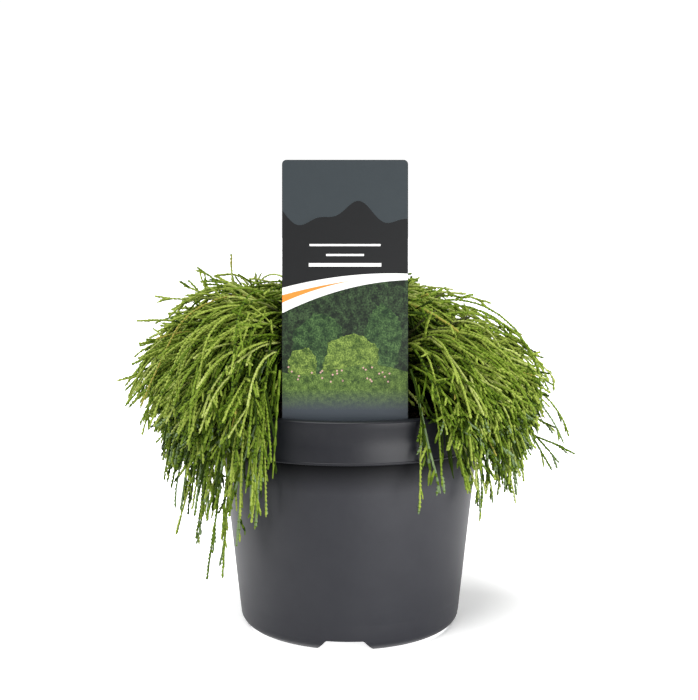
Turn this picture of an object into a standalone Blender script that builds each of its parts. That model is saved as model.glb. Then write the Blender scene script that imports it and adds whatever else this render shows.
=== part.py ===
"""A threadleaf sawara cypress in a round nursery pot, with a plain plant label.

Metres, +Z up. The origin is on the pot's axis at the ground, and -Y is the front.
Angles round the pot are measured from the front, towards +X.
"""

import math
import random

import bmesh
import bpy
from mathutils import Matrix, Vector

# Pot
RIM_RADIUS = 0.095
POT_HEIGHT = 0.154
BAND_HEIGHT = 0.0275
BAND_THICKNESS = 0.0022
BEAD_HEIGHT = 0.0022
BEAD_DEPTH = 0.0006
WALL = 0.0018
WALL_TOP_RADIUS = 0.0892
SEAM_HEIGHT = 0.0181
SEAM_RADIUS = 0.0778
BASE_STEP = 0.0007
BASE_FILLET = 0.0100
FOOT_WIDTH = 0.0030
FLOOR_HEIGHT = 0.0085
CENTRE_FOOT_RADIUS = 0.012
FLOOR_INSET = 0.006
LIP_INNER_EDGE = 0.0006
LIP_OUTER_EDGE = 0.0008
POT_STEPS = 40
ARC_STEPS = 4

# Drainage notches cut through the foot of the pot
NOTCH_COUNT = 4
NOTCH_TURN = math.radians(-2.4)
NOTCH_TOP_WIDTH = 0.0245
NOTCH_FOOT_WIDTH = 0.038
NOTCH_HEIGHT = 0.0076
NOTCH_INNER_REACH = 0.052
NOTCH_OVERRUN = 0.010
NOTCH_UNDERCUT = 0.002

# Growing medium
SOIL_EDGE_HEIGHT = 0.142
SOIL_CENTRE_HEIGHT = 0.147
SOIL_FLAT_RADIUS = 0.020
SOIL_SHOULDER_WIDTH = 0.012
SOIL_SHOULDER_RISE = 0.001
SOIL_FOOT_INSET = 0.0065

# Plant label, standing inside the rim at the front and leaning back
LABEL_WIDTH = 0.0800
LABEL_THICKNESS = 0.0008
LABEL_CORNER = 0.0028
LABEL_TOP = 0.3163
LABEL_RIM_Y = -0.0735
LABEL_SHIFT = -0.0030
LABEL_LEAN = math.radians(6.0)
LABEL_DEPTH = 0.038
LABEL_TAPER = 0.026
LABEL_TIP_WIDTH = 0.022

# Clearances between solids
GAP = 0.0003
SOFT_GAP = 0.0012
WELD = 0.00002

# Trunk and boughs
TRUNK_FOOT_RADIUS = 0.0078
TRUNK_RADIUS = 0.0052
TRUNK_TOP = 0.178
TRUNK_NECK = 0.008
TRUNK_TAPER = (0.92, 0.80)
TRUNK_LEAN = 0.0003
FLARE_HEIGHT = 0.006
BOUGH_RADIUS = 0.0028
BOUGH_TIP_RADIUS = 0.0020
BOUGH_TIP_REACH = 0.0280
BOUGH_TIP_HEIGHT = 0.1780
BOUGH_FIRST_RISE = 0.012
BOUGH_LAST_DROP = 0.005
BOUGH_LEVELS = 3
STEM_STRAIGHT = 0.0020
STEM_JOINT = 0.2
LEADER_BEND = (0.0006, 0.0004, 0.0)

# The crown: eight hanging masses round the rim, one behind the label and one on top.
# Each hanging mass has its own lift and outward shift, so the crown is higher on the left.
SKIRT_SHAPES = {
    "front_right": (-0.003, -0.002), "right": (-0.005, -0.004),
    "rear_right": (0.002, 0.000), "back_right": (0.005, 0.001),
    "back_left": (0.003, 0.000), "rear_left": (0.006, 0.002),
    "left": (0.009, 0.002), "front_left": (0.007, 0.000),
}
SKIRT_START = math.radians(28.0)
CROWN_REACH = 0.163
CROWN_TOP = 0.258
SHOULDER_REACH = 0.075
SHOULDER_DROP = 0.068
HEM_REACH = 0.118
HEM_HEIGHT = 0.045
HEM_SLOPE = 2.1
TOP_SPACE_FOOT = 0.2165
TOP_SPACE_SLOPE = 0.03
TOP_SPACE_REACH = 0.064

# Each hanging mass has a core that arches out from its bough and down over the rim
CORE_START_REACH = 0.0375
CORE_START_HEIGHT = 0.1865
CORE_RISE = math.radians(62.0)
CORE_BEND = 23.0
CORE_RUN = 0.156
CORE_THICKNESS = 0.0160
SHORT_CORE_SHARE = 0.25
CORE_SPREAD = 0.84
CORE_FULLNESS = 0.20
CORE_STEPS = 16
CORE_ROOM = 0.0045
CORE_SIDES = 8
CORE_RINGS = 6
CORE_LEAST_DEPTH = 0.3
CORE_DEPTH_STEP = 0.05
FRONT_CORE_RUN = 0.036
TOP_CORE_HEIGHT = 0.2285
TOP_CORE_BACK = 0.004
TOP_CORE_SIZE = (0.034, 0.034, 0.0070)

# Threads: the cord-like branchlets. Angles are in radians, and a droop or a curl is
# the turn in a metre's run.
THREAD_RADIUS = 0.0019
THREAD_TIP_RADIUS = 0.0012
THREAD_STEPS = 5
ROOT_DEPTH = 0.62
ROOT_OUTWARDS = (-0.6, 1.0)
ROOT_UPWARDS = (-0.4, 1.0)
RISES = (-0.30, 0.45)
RISE_ON_TOP = 0.3
DROOPS = (8.0, 22.0)
HEADING_SPREAD = 0.3
MOST_CURL = 6.0
SKIRT_THREADS = 26
SKIRT_LENGTHS = (0.040, 0.120)
HANGING_SHARE = 0.5
HANGING_OUTWARDS = (0.5, 1.2)
HANGING_UPWARDS = (-1.0, 0.5)
HANGING_DROOPS = (3.0, 9.0)
HANGING_LENGTHS = (0.050, 0.115)
FRONT_THREADS = 8
FRONT_LENGTHS = (0.014, 0.036)
TOP_THREADS = 20
TOP_LENGTHS = (0.022, 0.048)
TOP_UPWARDS = (0.0, 1.2)
TOP_RISES = (math.radians(5), math.radians(60))
TOP_DROOPS = (6.0, 18.0)
TOP_HEADING_SPREAD = 0.4
STEEPEST = math.radians(-84.0)

# The furthest tips. Each is its root's place along the core and up from its middle,
# both from -1 to 1, then its rise in radians, its length and its droop.
LEADING_THREADS = {
    "left": ((0.45, 0.8, -0.25, 0.037, 6.0), (-0.30, 0.8, 1.45, 0.034, 2.0)),
    "front_left": ((0.95, -0.8, -1.42, 0.116, 1.0), (0.95, -0.5, -1.40, 0.085, 1.0)),
    "right": ((0.60, 0.8, -0.50, 0.046, 5.0), (0.85, 0.8, -0.60, 0.036, 4.0)),
    "back_left": ((0.45, 0.8, -0.15, 0.040, 9.0),),
    "back_right": ((0.45, 0.8, -0.20, 0.038, 9.0),),
}
FORK_CHANCE = 0.5
FORK_JOINTS = (2, 3, 4)
FORK_TURNS = (0.4, 0.8)
FORK_RISES = (0.0, 0.4)
FORK_LENGTHS = (0.014, 0.026)
FORK_DROOP = 8.0
TWIG_TIP_RADIUS = 0.0009
MOST_TRIES = 4000
SEED = 43


def clear_scene():
    for obj in list(bpy.data.objects):
        bpy.data.objects.remove(obj)


def new_collection(name):
    made = bpy.data.collections.new(name)
    bpy.context.scene.collection.children.link(made)
    return made


def add_object(name, data, collection, material=None):
    obj = bpy.data.objects.new(name, data)
    collection.objects.link(obj)
    if material:
        data.materials.append(material)
    return obj


def make_material(name, colour, roughness):
    """A Principled finish of one colour."""
    material = bpy.data.materials.new(name)
    material.use_nodes = True
    shader = material.node_tree.nodes["Principled BSDF"]
    shader.inputs["Base Color"].default_value = (*colour, 1.0)
    shader.inputs["Roughness"].default_value = roughness
    shader.inputs["Metallic"].default_value = 0.0
    return material


def round_about(angle):
    """The level unit vector that points outwards at an angle round the pot."""
    return Vector((math.sin(angle), -math.cos(angle), 0.0))


def angle_of(point):
    return math.atan2(point.x, -point.y)


def reach_of(point):
    return math.hypot(point.x, point.y)


def turned(name, profile, steps, collection, material):
    """A profile of (radius, height) points, axis to axis, turned about Z."""
    mesh = bpy.data.meshes.new(name)
    shape = bmesh.new()
    points = [shape.verts.new((radius, 0.0, height)) for radius, height in profile]
    for first, second in zip(points, points[1:]):
        shape.edges.new((first, second))
    shape.to_mesh(mesh)
    shape.free()
    obj = add_object(name, mesh, collection, material)
    screw = obj.modifiers.new("Turn", "SCREW")
    screw.axis = "Z"
    screw.steps = steps
    screw.render_steps = steps
    screw.use_merge_vertices = True
    screw.merge_threshold = WELD
    return obj


def cut(obj, cutter):
    boolean = obj.modifiers.new("Cut " + cutter.name, "BOOLEAN")
    boolean.operation = "DIFFERENCE"
    boolean.solver = "EXACT"
    boolean.object = cutter
    cutter.hide_render = True
    cutter.display_type = "WIRE"


def pot_profile():
    """From the inner floor out, up the inside, over the rim and down the outside."""
    band_foot = POT_HEIGHT - BAND_HEIGHT
    inside_top = WALL_TOP_RADIUS - WALL
    fillet_centre = SEAM_RADIUS + BASE_STEP - BASE_FILLET
    profile = [
        (0.0, FLOOR_HEIGHT + WALL),
        (SEAM_RADIUS - WALL - FLOOR_INSET, FLOOR_HEIGHT + WALL),
        (SEAM_RADIUS - WALL, SEAM_HEIGHT),
        (inside_top, band_foot),
        (inside_top, POT_HEIGHT - LIP_INNER_EDGE),
        (inside_top + LIP_INNER_EDGE, POT_HEIGHT),
        (RIM_RADIUS - LIP_OUTER_EDGE, POT_HEIGHT),
        (RIM_RADIUS, POT_HEIGHT - LIP_OUTER_EDGE),
        (RIM_RADIUS - BEAD_DEPTH, band_foot + BEAD_HEIGHT),
        (RIM_RADIUS, band_foot + BEAD_HEIGHT),
        (RIM_RADIUS, band_foot),
        (RIM_RADIUS - BAND_THICKNESS, band_foot),
        (RIM_RADIUS - BAND_THICKNESS, POT_HEIGHT - WALL),
        (WALL_TOP_RADIUS, POT_HEIGHT - WALL),
        (WALL_TOP_RADIUS, band_foot),
        (SEAM_RADIUS, SEAM_HEIGHT),
        (SEAM_RADIUS + BASE_STEP, SEAM_HEIGHT - BASE_STEP),
    ]
    for step in range(ARC_STEPS + 1):
        turn = math.pi / 2 * step / ARC_STEPS
        profile.append((
            fillet_centre + BASE_FILLET * math.cos(turn),
            BASE_FILLET - BASE_FILLET * math.sin(turn),
        ))
    profile += [
        (fillet_centre - FOOT_WIDTH, 0.0),
        (fillet_centre - FOOT_WIDTH, FLOOR_HEIGHT),
        (CENTRE_FOOT_RADIUS, FLOOR_HEIGHT),
        (CENTRE_FOOT_RADIUS, 0.0),
        (0.0, 0.0),
    ]
    return profile


def notch_cutter(index, collection):
    """A bar with sloping sides that runs out through the foot at one notch."""
    shape = bmesh.new()
    half_top, half_foot = NOTCH_TOP_WIDTH / 2, NOTCH_FOOT_WIDTH / 2
    half_below = half_foot + (half_foot - half_top) / NOTCH_HEIGHT * NOTCH_UNDERCUT
    outline = [
        (-half_below, -NOTCH_UNDERCUT), (half_below, -NOTCH_UNDERCUT),
        (half_top, NOTCH_HEIGHT), (-half_top, NOTCH_HEIGHT),
    ]
    corners = [shape.verts.new((x, -NOTCH_INNER_REACH, z)) for x, z in outline]
    face = shape.faces.new(corners)
    grown = bmesh.ops.extrude_face_region(shape, geom=[face])["geom"]
    moved = [item for item in grown if isinstance(item, bmesh.types.BMVert)]
    outwards = (0.0, NOTCH_INNER_REACH - SEAM_RADIUS - NOTCH_OVERRUN, 0.0)
    bmesh.ops.translate(shape, vec=outwards, verts=moved)
    bmesh.ops.recalc_face_normals(shape, faces=shape.faces)
    mesh = bpy.data.meshes.new(f"notch_cutter_{index}")
    shape.to_mesh(mesh)
    shape.free()
    cutter = add_object(mesh.name, mesh, collection)
    cutter.rotation_euler.z = NOTCH_TURN + index * math.tau / NOTCH_COUNT
    return cutter


def make_pot(parts, cutters, material):
    pot = turned("pot", pot_profile(), POT_STEPS, parts, material)
    for index in range(NOTCH_COUNT):
        cut(pot, notch_cutter(index, cutters))
    return pot


def make_soil(parts, cutters, material):
    """The potting mix, which fills the pot from its floor to just below the rim."""
    floor = FLOOR_HEIGHT + WALL + GAP
    seam_inside = SEAM_RADIUS - WALL - GAP
    wall_inside = WALL_TOP_RADIUS - WALL - GAP
    band_foot = POT_HEIGHT - BAND_HEIGHT
    profile = [
        (0.0, SOIL_CENTRE_HEIGHT),
        (SOIL_FLAT_RADIUS, SOIL_CENTRE_HEIGHT),
        (wall_inside - SOIL_SHOULDER_WIDTH, SOIL_EDGE_HEIGHT + SOIL_SHOULDER_RISE),
        (wall_inside, SOIL_EDGE_HEIGHT),
        (wall_inside, band_foot),
        (seam_inside, SEAM_HEIGHT),
        (seam_inside - SOIL_FOOT_INSET, floor),
        (0.0, floor),
    ]
    soil = turned("growing_medium", profile, POT_STEPS, parts, material)
    cut(soil, label_sheet("label_slot_cutter", cutters, None, 2 * GAP))
    return soil


def label_matrix():
    """Places the label's own plane: its middle at rim height, leaning back."""
    return (
        Matrix.Translation((LABEL_SHIFT, LABEL_RIM_Y, POT_HEIGHT))
        @ Matrix.Rotation(-LABEL_LEAN, 4, "X")
        @ Matrix.Rotation(math.pi / 2, 4, "X")
    )


def label_outline(spare):
    """The label's outline in its own plane: round top corners and a stake tip."""
    half = LABEL_WIDTH / 2 + spare
    top = (LABEL_TOP - POT_HEIGHT) / math.cos(LABEL_LEAN) + spare
    foot = -LABEL_DEPTH - spare
    outline = [(-LABEL_TIP_WIDTH / 2 - spare, foot), (LABEL_TIP_WIDTH / 2 + spare, foot)]
    outline.append((half, foot + LABEL_TAPER))
    for side, start in ((1, 0.0), (-1, math.pi / 2)):
        for step in range(ARC_STEPS + 1):
            turn = start + math.pi / 2 * step / ARC_STEPS
            outline.append((
                side * (half - LABEL_CORNER) + LABEL_CORNER * math.cos(turn),
                top - LABEL_CORNER + LABEL_CORNER * math.sin(turn),
            ))
    outline.append((-half, foot + LABEL_TAPER))
    return outline


def label_sheet(name, collection, material, spare):
    """A flat sheet with the label's outline, grown by spare on every side."""
    curve = bpy.data.curves.new(name, "CURVE")
    curve.dimensions = "2D"
    curve.fill_mode = "BOTH"
    curve.extrude = LABEL_THICKNESS / 2 + spare
    outline = label_outline(spare)
    spline = curve.splines.new("POLY")
    spline.points.add(len(outline) - 1)
    for point, (x, y) in zip(spline.points, outline):
        point.co = (x, y, 0.0, 1.0)
    spline.use_cyclic_u = True
    flat = add_object(name + "_outline", curve, collection)
    flat.matrix_world = label_matrix()
    mesh = mesh_of_curve(flat, name)
    sheet = add_object(name, mesh, collection, material)
    sheet.matrix_world = label_matrix()
    bpy.data.objects.remove(flat)
    return sheet


def mesh_of_curve(obj, name):
    """The curve's evaluated shape as a welded mesh that faces outwards."""
    graph = bpy.context.evaluated_depsgraph_get()
    mesh = bpy.data.meshes.new_from_object(obj.evaluated_get(graph))
    mesh.name = name
    mesh.materials.clear()
    shape = bmesh.new()
    shape.from_mesh(mesh)
    bmesh.ops.remove_doubles(shape, verts=shape.verts, dist=WELD)
    bmesh.ops.recalc_face_normals(shape, faces=shape.faces)
    shape.to_mesh(mesh)
    shape.free()
    return mesh


def section(name, sides, collection):
    """A closed outline with a radius of one metre, which limbs are swept from."""
    curve = bpy.data.curves.new(name, "CURVE")
    curve.dimensions = "2D"
    spline = curve.splines.new("POLY")
    spline.points.add(sides - 1)
    for index, point in enumerate(spline.points):
        turn = math.tau * index / sides
        point.co = (math.cos(turn), math.sin(turn), 0.0, 1.0)
    spline.use_cyclic_u = True
    outline = add_object(name, curve, collection)
    outline.hide_render = True
    outline.display_type = "WIRE"
    return outline


def limb(name, points, radii, outline, collection, material=None):
    """A tapering limb swept along its points."""
    curve = bpy.data.curves.new(name + "_path", "CURVE")
    curve.dimensions = "3D"
    curve.bevel_mode = "OBJECT"
    curve.bevel_object = outline
    curve.use_fill_caps = True
    spline = curve.splines.new("POLY")
    spline.points.add(len(points) - 1)
    for knot, place, radius in zip(spline.points, points, radii):
        knot.co = (*place, 1.0)
        knot.radius = radius
    path = add_object(name + "_path", curve, collection)
    mesh = mesh_of_curve(path, name)
    made = add_object(name, mesh, collection, material)
    bpy.data.objects.remove(path)
    return made


def label_face_y(height):
    """The Y of the label's middle plane at a height."""
    return LABEL_RIM_Y + (height - POT_HEIGHT) * math.tan(LABEL_LEAN)


def touches_label(point, radius):
    """True on the label or in the clear space in front of it."""
    room = radius + SOFT_GAP + LABEL_THICKNESS / 2
    if abs(point.x - LABEL_SHIFT) > LABEL_WIDTH / 2 + room or point.z > LABEL_TOP:
        return False
    return point.y < label_face_y(point.z) + room


def touches_pot(point, radius):
    """True on the pot, on the growing medium, or under the rim's band."""
    room = radius + SOFT_GAP
    reach = reach_of(point)
    if reach < WALL_TOP_RADIUS - WALL - room:
        return point.z < SOIL_CENTRE_HEIGHT + room
    return reach < RIM_RADIUS + room and point.z < POT_HEIGHT + room


def top_space_floor(reach):
    """The height of the funnel that the top mass keeps above, and the rest below."""
    return TOP_SPACE_FOOT + TOP_SPACE_SLOPE * reach


def dome_height(reach):
    """The crown's upper outline: level over the middle, then rounding down to the tips."""
    past = max(reach - SHOULDER_REACH, 0.0) / (CROWN_REACH - SHOULDER_REACH)
    return CROWN_TOP - SHOULDER_DROP * past ** 2


def hem_height(reach):
    """The crown's lower outline: lowest beside the pot, and rising towards the tips."""
    return HEM_HEIGHT + HEM_SLOPE * max(reach - HEM_REACH, 0.0)


class Space:
    """The room that one mass keeps to: a sector round the pot, or the top."""

    def __init__(self, start, end, lift=0.0, is_top=False):
        self.lift, self.is_top = lift, is_top
        self.middle = (start + end) / 2
        self.half = (end - start) / 2

    def holds(self, point, radius):
        room = radius + SOFT_GAP
        reach = reach_of(point)
        if touches_pot(point, radius) or touches_label(point, radius):
            return False
        if reach > CROWN_REACH or not hem_height(reach) < point.z < dome_height(reach) + self.lift:
            return False
        if self.is_top:
            return point.z > top_space_floor(reach) + room and reach < TOP_SPACE_REACH - room
        turn = (angle_of(point) - self.middle + math.pi) % math.tau - math.pi
        beside = reach * math.sin(self.half - abs(turn))
        below = top_space_floor(reach) - point.z
        under_top = below > room or reach > TOP_SPACE_REACH + room
        return abs(turn) < self.half and beside > room and under_top


def thread_path(root, heading, rise, length, droop, curl, steps=THREAD_STEPS):
    """A thread leaves its root at an angle above level and bends down under its own weight."""
    points = [root.copy()]
    pitch, step = rise, length / steps
    for _ in range(steps):
        middle = max(pitch - droop * step / 2, STEEPEST)
        level = round_about(heading) * math.cos(middle)
        points.append(points[-1] + (level + Vector((0.0, 0.0, math.sin(middle)))) * step)
        pitch = max(pitch - droop * step, STEEPEST)
        heading += curl * step
    return points


def path_fits(points, radius, space):
    """Tests five places along every stretch of a thread."""
    for first, second in zip(points, points[1:]):
        for share in (0.0, 0.25, 0.5, 0.75, 1.0):
            if not space.holds(first.lerp(second, share), radius):
                return False
    return True


def taper(count, start, end):
    return [start + (end - start) * index / (count - 1) for index in range(count)]


class Mass:
    """One mass of foliage: its space, its core and the rule that its threads grow by."""

    def __init__(self, name, space, run, threads, lengths, shift=0.0, hangs=False):
        self.name, self.space, self.threads, self.lengths = name, space, threads, lengths
        self.hangs = hangs
        self.thickness = min(CORE_THICKNESS, run * SHORT_CORE_SHARE)
        self.start = round_about(space.middle) * (CORE_START_REACH + shift)
        self.start.z = CORE_START_HEIGHT + space.lift
        self.line = thread_path(self.start, space.middle, CORE_RISE, run, CORE_BEND, 0.0, CORE_STEPS)

    def spine(self, share):
        """A point of the arching middle line, as a place and the line's pitch there."""
        along = share * CORE_STEPS
        index = min(int(along), CORE_STEPS - 1)
        run = self.line[index + 1] - self.line[index]
        return self.line[index] + run * (along - index), math.atan2(run.z, reach_of(run))

    def core_point(self, direction, depth):
        """A point of the core, from a direction given as outwards, aside and up."""
        place, pitch = self.spine((direction.x * depth + 1.0) / 2.0)
        along = round_about(self.space.middle)
        aside = round_about(self.space.middle + math.pi / 2)
        upwards = Vector((0.0, 0.0, math.cos(pitch))) - along * math.sin(pitch)
        width = reach_of(place) * math.sin(self.space.half) * CORE_SPREAD
        swell = depth * max(1.0 - direction.x ** 2, 0.01) ** -CORE_FULLNESS
        return place + (aside * direction.y * width + upwards * direction.z * self.thickness) * swell

    def make_core(self, collection, material):
        """A ball bent along the spine, drawn in wherever it would leave its space."""
        shape = bmesh.new()
        bmesh.ops.create_uvsphere(shape, u_segments=CORE_SIDES, v_segments=CORE_RINGS, radius=1.0)
        for vert in shape.verts:
            vert.co = self.drawn_in(vert.co.copy())
        bmesh.ops.recalc_face_normals(shape, faces=shape.faces)
        mesh = bpy.data.meshes.new(self.name)
        shape.to_mesh(mesh)
        shape.free()
        return add_object("foliage_" + self.name, mesh, collection, material)

    def drawn_in(self, direction):
        """The core's surface in a direction, nearer its middle where it would leave its space."""
        depth = 1.0
        while depth > CORE_LEAST_DEPTH and not self.space.holds(self.core_point(direction, depth), CORE_ROOM):
            depth -= CORE_DEPTH_STEP
        return self.core_point(direction, depth)

    def one_thread(self, chance):
        """A random thread's points, or None where it would leave the space."""
        outwards, aside = chance.uniform(*ROOT_OUTWARDS), chance.uniform(-1.0, 1.0)
        direction = Vector((outwards, aside, chance.uniform(*ROOT_UPWARDS)))
        length, droop = chance.uniform(*self.lengths), chance.uniform(*DROOPS)
        if self.hangs and chance.random() < HANGING_SHARE:
            direction.x = chance.uniform(*HANGING_OUTWARDS)
            direction.z = chance.uniform(*HANGING_UPWARDS)
            length, droop = chance.uniform(*HANGING_LENGTHS), chance.uniform(*HANGING_DROOPS)
        direction.normalize()
        root = self.core_point(direction, ROOT_DEPTH)
        pitch = self.spine((direction.x * ROOT_DEPTH + 1.0) / 2.0)[1]
        rise = pitch + chance.uniform(*RISES) + RISE_ON_TOP * direction.z
        heading = angle_of(root) + chance.uniform(-HEADING_SPREAD, HEADING_SPREAD)
        curl = chance.uniform(-MOST_CURL, MOST_CURL)
        points = thread_path(root, heading, rise, length, droop, curl)
        return points if path_fits(points, THREAD_RADIUS, self.space) else None

    def leading_threads(self):
        """The threads that carry the crown's furthest tips, set by hand."""
        for outwards, upwards, rise, length, droop in LEADING_THREADS.get(self.name, ()):
            root = self.core_point(Vector((outwards, 0.0, upwards)), ROOT_DEPTH)
            points = thread_path(root, angle_of(root), rise, length, droop, 0.0)
            if path_fits(points, THREAD_RADIUS, self.space):
                yield points

    def fork(self, points, chance):
        """A short straight side twig that leaves a thread near its tip, or None."""
        joint = chance.choice(FORK_JOINTS)
        root = points[joint]
        run = points[joint] - points[joint - 1]
        heading = angle_of(run) + chance.choice((-1, 1)) * chance.uniform(*FORK_TURNS)
        rise = math.atan2(run.z, reach_of(run)) + chance.uniform(*FORK_RISES)
        drooping = thread_path(root, heading, rise, chance.uniform(*FORK_LENGTHS), FORK_DROOP, 0.0)
        twig = [drooping[0], drooping[-1]]
        return twig if path_fits(twig, THREAD_TIP_RADIUS, self.space) else None


class TopMass(Mass):
    """The mass on the leader: a flat dome whose threads run out on all sides."""

    def __init__(self):
        space = Space(-math.pi, math.pi, is_top=True)
        super().__init__("top", space, 0.0, TOP_THREADS, TOP_LENGTHS)
        self.start = Vector((0.0, TOP_CORE_BACK, TOP_CORE_HEIGHT))

    def core_point(self, direction, depth):
        scaled = [part * size * depth for part, size in zip(direction, TOP_CORE_SIZE)]
        return self.start + Vector(scaled)

    def one_thread(self, chance):
        turn = chance.uniform(-math.pi, math.pi)
        direction = round_about(turn) + Vector((0.0, 0.0, chance.uniform(*TOP_UPWARDS)))
        direction.normalize()
        root = self.core_point(direction, ROOT_DEPTH)
        rise = chance.uniform(*TOP_RISES)
        length = chance.uniform(*self.lengths)
        droop = chance.uniform(*TOP_DROOPS)
        heading = turn + chance.uniform(-TOP_HEADING_SPREAD, TOP_HEADING_SPREAD)
        curl = chance.uniform(-MOST_CURL, MOST_CURL)
        points = thread_path(root, heading, rise, length, droop, curl)
        return points if path_fits(points, THREAD_RADIUS, self.space) else None


def level_masses():
    """The masses that hang over the rim, each in its own sector, and the one behind the label."""
    width = (math.tau - 2 * SKIRT_START) / len(SKIRT_SHAPES)
    masses = []
    for index, (name, (lift, shift)) in enumerate(SKIRT_SHAPES.items()):
        start = SKIRT_START + index * width
        space = Space(start, start + width, lift)
        masses.append(Mass(name, space, CORE_RUN, SKIRT_THREADS, SKIRT_LENGTHS, shift, hangs=True))
    space = Space(-SKIRT_START, SKIRT_START)
    masses.append(Mass("behind_label", space, FRONT_CORE_RUN, FRONT_THREADS, FRONT_LENGTHS))
    return masses


def union_into(core, collection):
    """Joins every object of a collection to the core with one Boolean, and applies it."""
    join = core.modifiers.new("Join", "BOOLEAN")
    join.operation = "UNION"
    join.solver = "MANIFOLD"
    join.operand_type = "COLLECTION"
    join.collection = collection
    graph = bpy.context.evaluated_depsgraph_get()
    joined = bpy.data.meshes.new_from_object(core.evaluated_get(graph))
    core.modifiers.clear()
    core.data = joined
    for obj in list(collection.objects):
        bpy.data.objects.remove(obj)
    bpy.data.collections.remove(collection)
    keep_largest(joined)


def keep_largest(mesh):
    """Keeps the largest connected piece of a mesh, and removes any loose scrap."""
    shape = bmesh.new()
    shape.from_mesh(mesh)
    left, pieces = set(shape.verts), []
    while left:
        seed = left.pop()
        piece, edge = {seed}, [seed]
        while edge:
            for link in edge.pop().link_edges:
                for vert in link.verts:
                    if vert not in piece:
                        piece.add(vert)
                        edge.append(vert)
        left -= piece
        pieces.append(piece)
    pieces.sort(key=len)
    loose = [vert for piece in pieces[:-1] for vert in piece]
    bmesh.ops.delete(shape, geom=loose, context="VERTS")
    shape.to_mesh(mesh)
    shape.free()


def make_bough(mass, start_height, outline, parts, material):
    """A bough that leaves the trunk's side level. Returns its last two points."""
    along = round_about(mass.space.middle)
    start = along * (TRUNK_RADIUS + GAP) + Vector((0.0, 0.0, start_height))
    tip = along * BOUGH_TIP_REACH + Vector((0.0, 0.0, BOUGH_TIP_HEIGHT))
    elbow = start + along * BOUGH_RADIUS
    points = [start, elbow, elbow.lerp(tip, 0.5), tip]
    radii = taper(len(points), BOUGH_RADIUS, BOUGH_TIP_RADIUS)
    limb("bough_" + mass.name, points, radii, outline, parts, material)
    return points[2:]


def make_mass(mass, stem_points, outline, parts, material, chance):
    """A core with its stem, threads and side twigs, joined into one solid."""
    pieces = new_collection("joined_" + mass.name)
    stem_radii = taper(len(stem_points), BOUGH_TIP_RADIUS, THREAD_RADIUS)
    limb("stem", stem_points, stem_radii, outline, pieces)
    core = mass.make_core(parts, material)
    threads = list(mass.leading_threads())
    tries = 0
    while len(threads) < mass.threads and tries < MOST_TRIES:
        tries += 1
        points = mass.one_thread(chance)
        if points:
            threads.append(points)
    for points in threads:
        radii = taper(len(points), THREAD_RADIUS, THREAD_TIP_RADIUS)
        limb("thread", points, radii, outline, pieces)
        twig = mass.fork(points, chance) if chance.random() < FORK_CHANCE else None
        if twig:
            radii = taper(len(twig), THREAD_TIP_RADIUS, TWIG_TIP_RADIUS)
            limb("twig", twig, radii, outline, pieces)
    union_into(core, pieces)


def make_trunk(outline, parts, material):
    """The short stem: a flat cut on the ground, a root flare and a blunt fork."""
    foot = SOIL_CENTRE_HEIGHT + GAP
    points = [
        Vector((0.0, 0.0, foot)),
        Vector((0.0, 0.0, foot + FLARE_HEIGHT)),
        Vector((TRUNK_LEAN * 2 / 3, TRUNK_LEAN * 2 / 3, TRUNK_TOP - TRUNK_NECK)),
        Vector((TRUNK_LEAN, TRUNK_LEAN, TRUNK_TOP)),
    ]
    radii = [TRUNK_FOOT_RADIUS, TRUNK_RADIUS] + [TRUNK_RADIUS * share for share in TRUNK_TAPER]
    limb("trunk", points, radii, outline, parts, material)


def make_leader(outline, parts, material):
    """The bough that runs on up from the trunk to the top mass. Returns its tip."""
    start = Vector((TRUNK_LEAN, TRUNK_LEAN, TRUNK_TOP + GAP))
    tip = start.copy()
    tip.z = TOP_CORE_HEIGHT - TOP_CORE_SIZE[2] - STEM_STRAIGHT * 1.5
    middle = start.lerp(tip, 0.5) + Vector(LEADER_BEND)
    points = [start, middle, tip - Vector((0.0, 0.0, STEM_STRAIGHT)), tip]
    radii = taper(len(points), BOUGH_RADIUS, BOUGH_TIP_RADIUS)
    limb("bough_top", points, radii, outline, parts, material)
    return tip


def main():
    clear_scene()
    parts = new_collection("potted_threadleaf_cypress")
    cutters = new_collection("cutters")
    plastic = make_material("pot_plastic", (0.055, 0.058, 0.064), 0.55)
    peat = make_material("potting_mix", (0.045, 0.030, 0.020), 0.95)
    bark = make_material("bark", (0.160, 0.095, 0.060), 0.85)
    green = make_material("thread_green", (0.150, 0.260, 0.035), 0.60)
    card = make_material("label_card", (0.030, 0.032, 0.035), 0.40)

    make_pot(parts, cutters, plastic)
    make_soil(parts, cutters, peat)
    label_sheet("plant_label", parts, card, 0.0)

    round_limb = section("round_section", 8, cutters)
    three_sided = section("thread_section", 3, cutters)
    make_trunk(round_limb, parts, bark)
    chance = random.Random(SEED)
    low, high = SOIL_CENTRE_HEIGHT + BOUGH_FIRST_RISE, TRUNK_TOP - BOUGH_LAST_DROP
    for index, mass in enumerate(level_masses()):
        start_height = low + (high - low) * (index % BOUGH_LEVELS) / (BOUGH_LEVELS - 1)
        before, tip = make_bough(mass, start_height, round_limb, parts, bark)
        run = (tip - before).normalized()
        stem = [tip + run * GAP, tip + run * STEM_STRAIGHT, mass.spine(STEM_JOINT)[0]]
        make_mass(mass, stem, three_sided, parts, green, chance)

    tip = make_leader(round_limb, parts, bark)
    top = TopMass()
    stem = [tip + Vector((0.0, 0.0, GAP)), tip + Vector((0.0, 0.0, STEM_STRAIGHT)), top.start]
    make_mass(top, stem, three_sided, parts, green, chance)


main()
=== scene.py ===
import math

import bmesh
import bpy
import numpy as np
from mathutils import Matrix, Vector, noise


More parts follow.
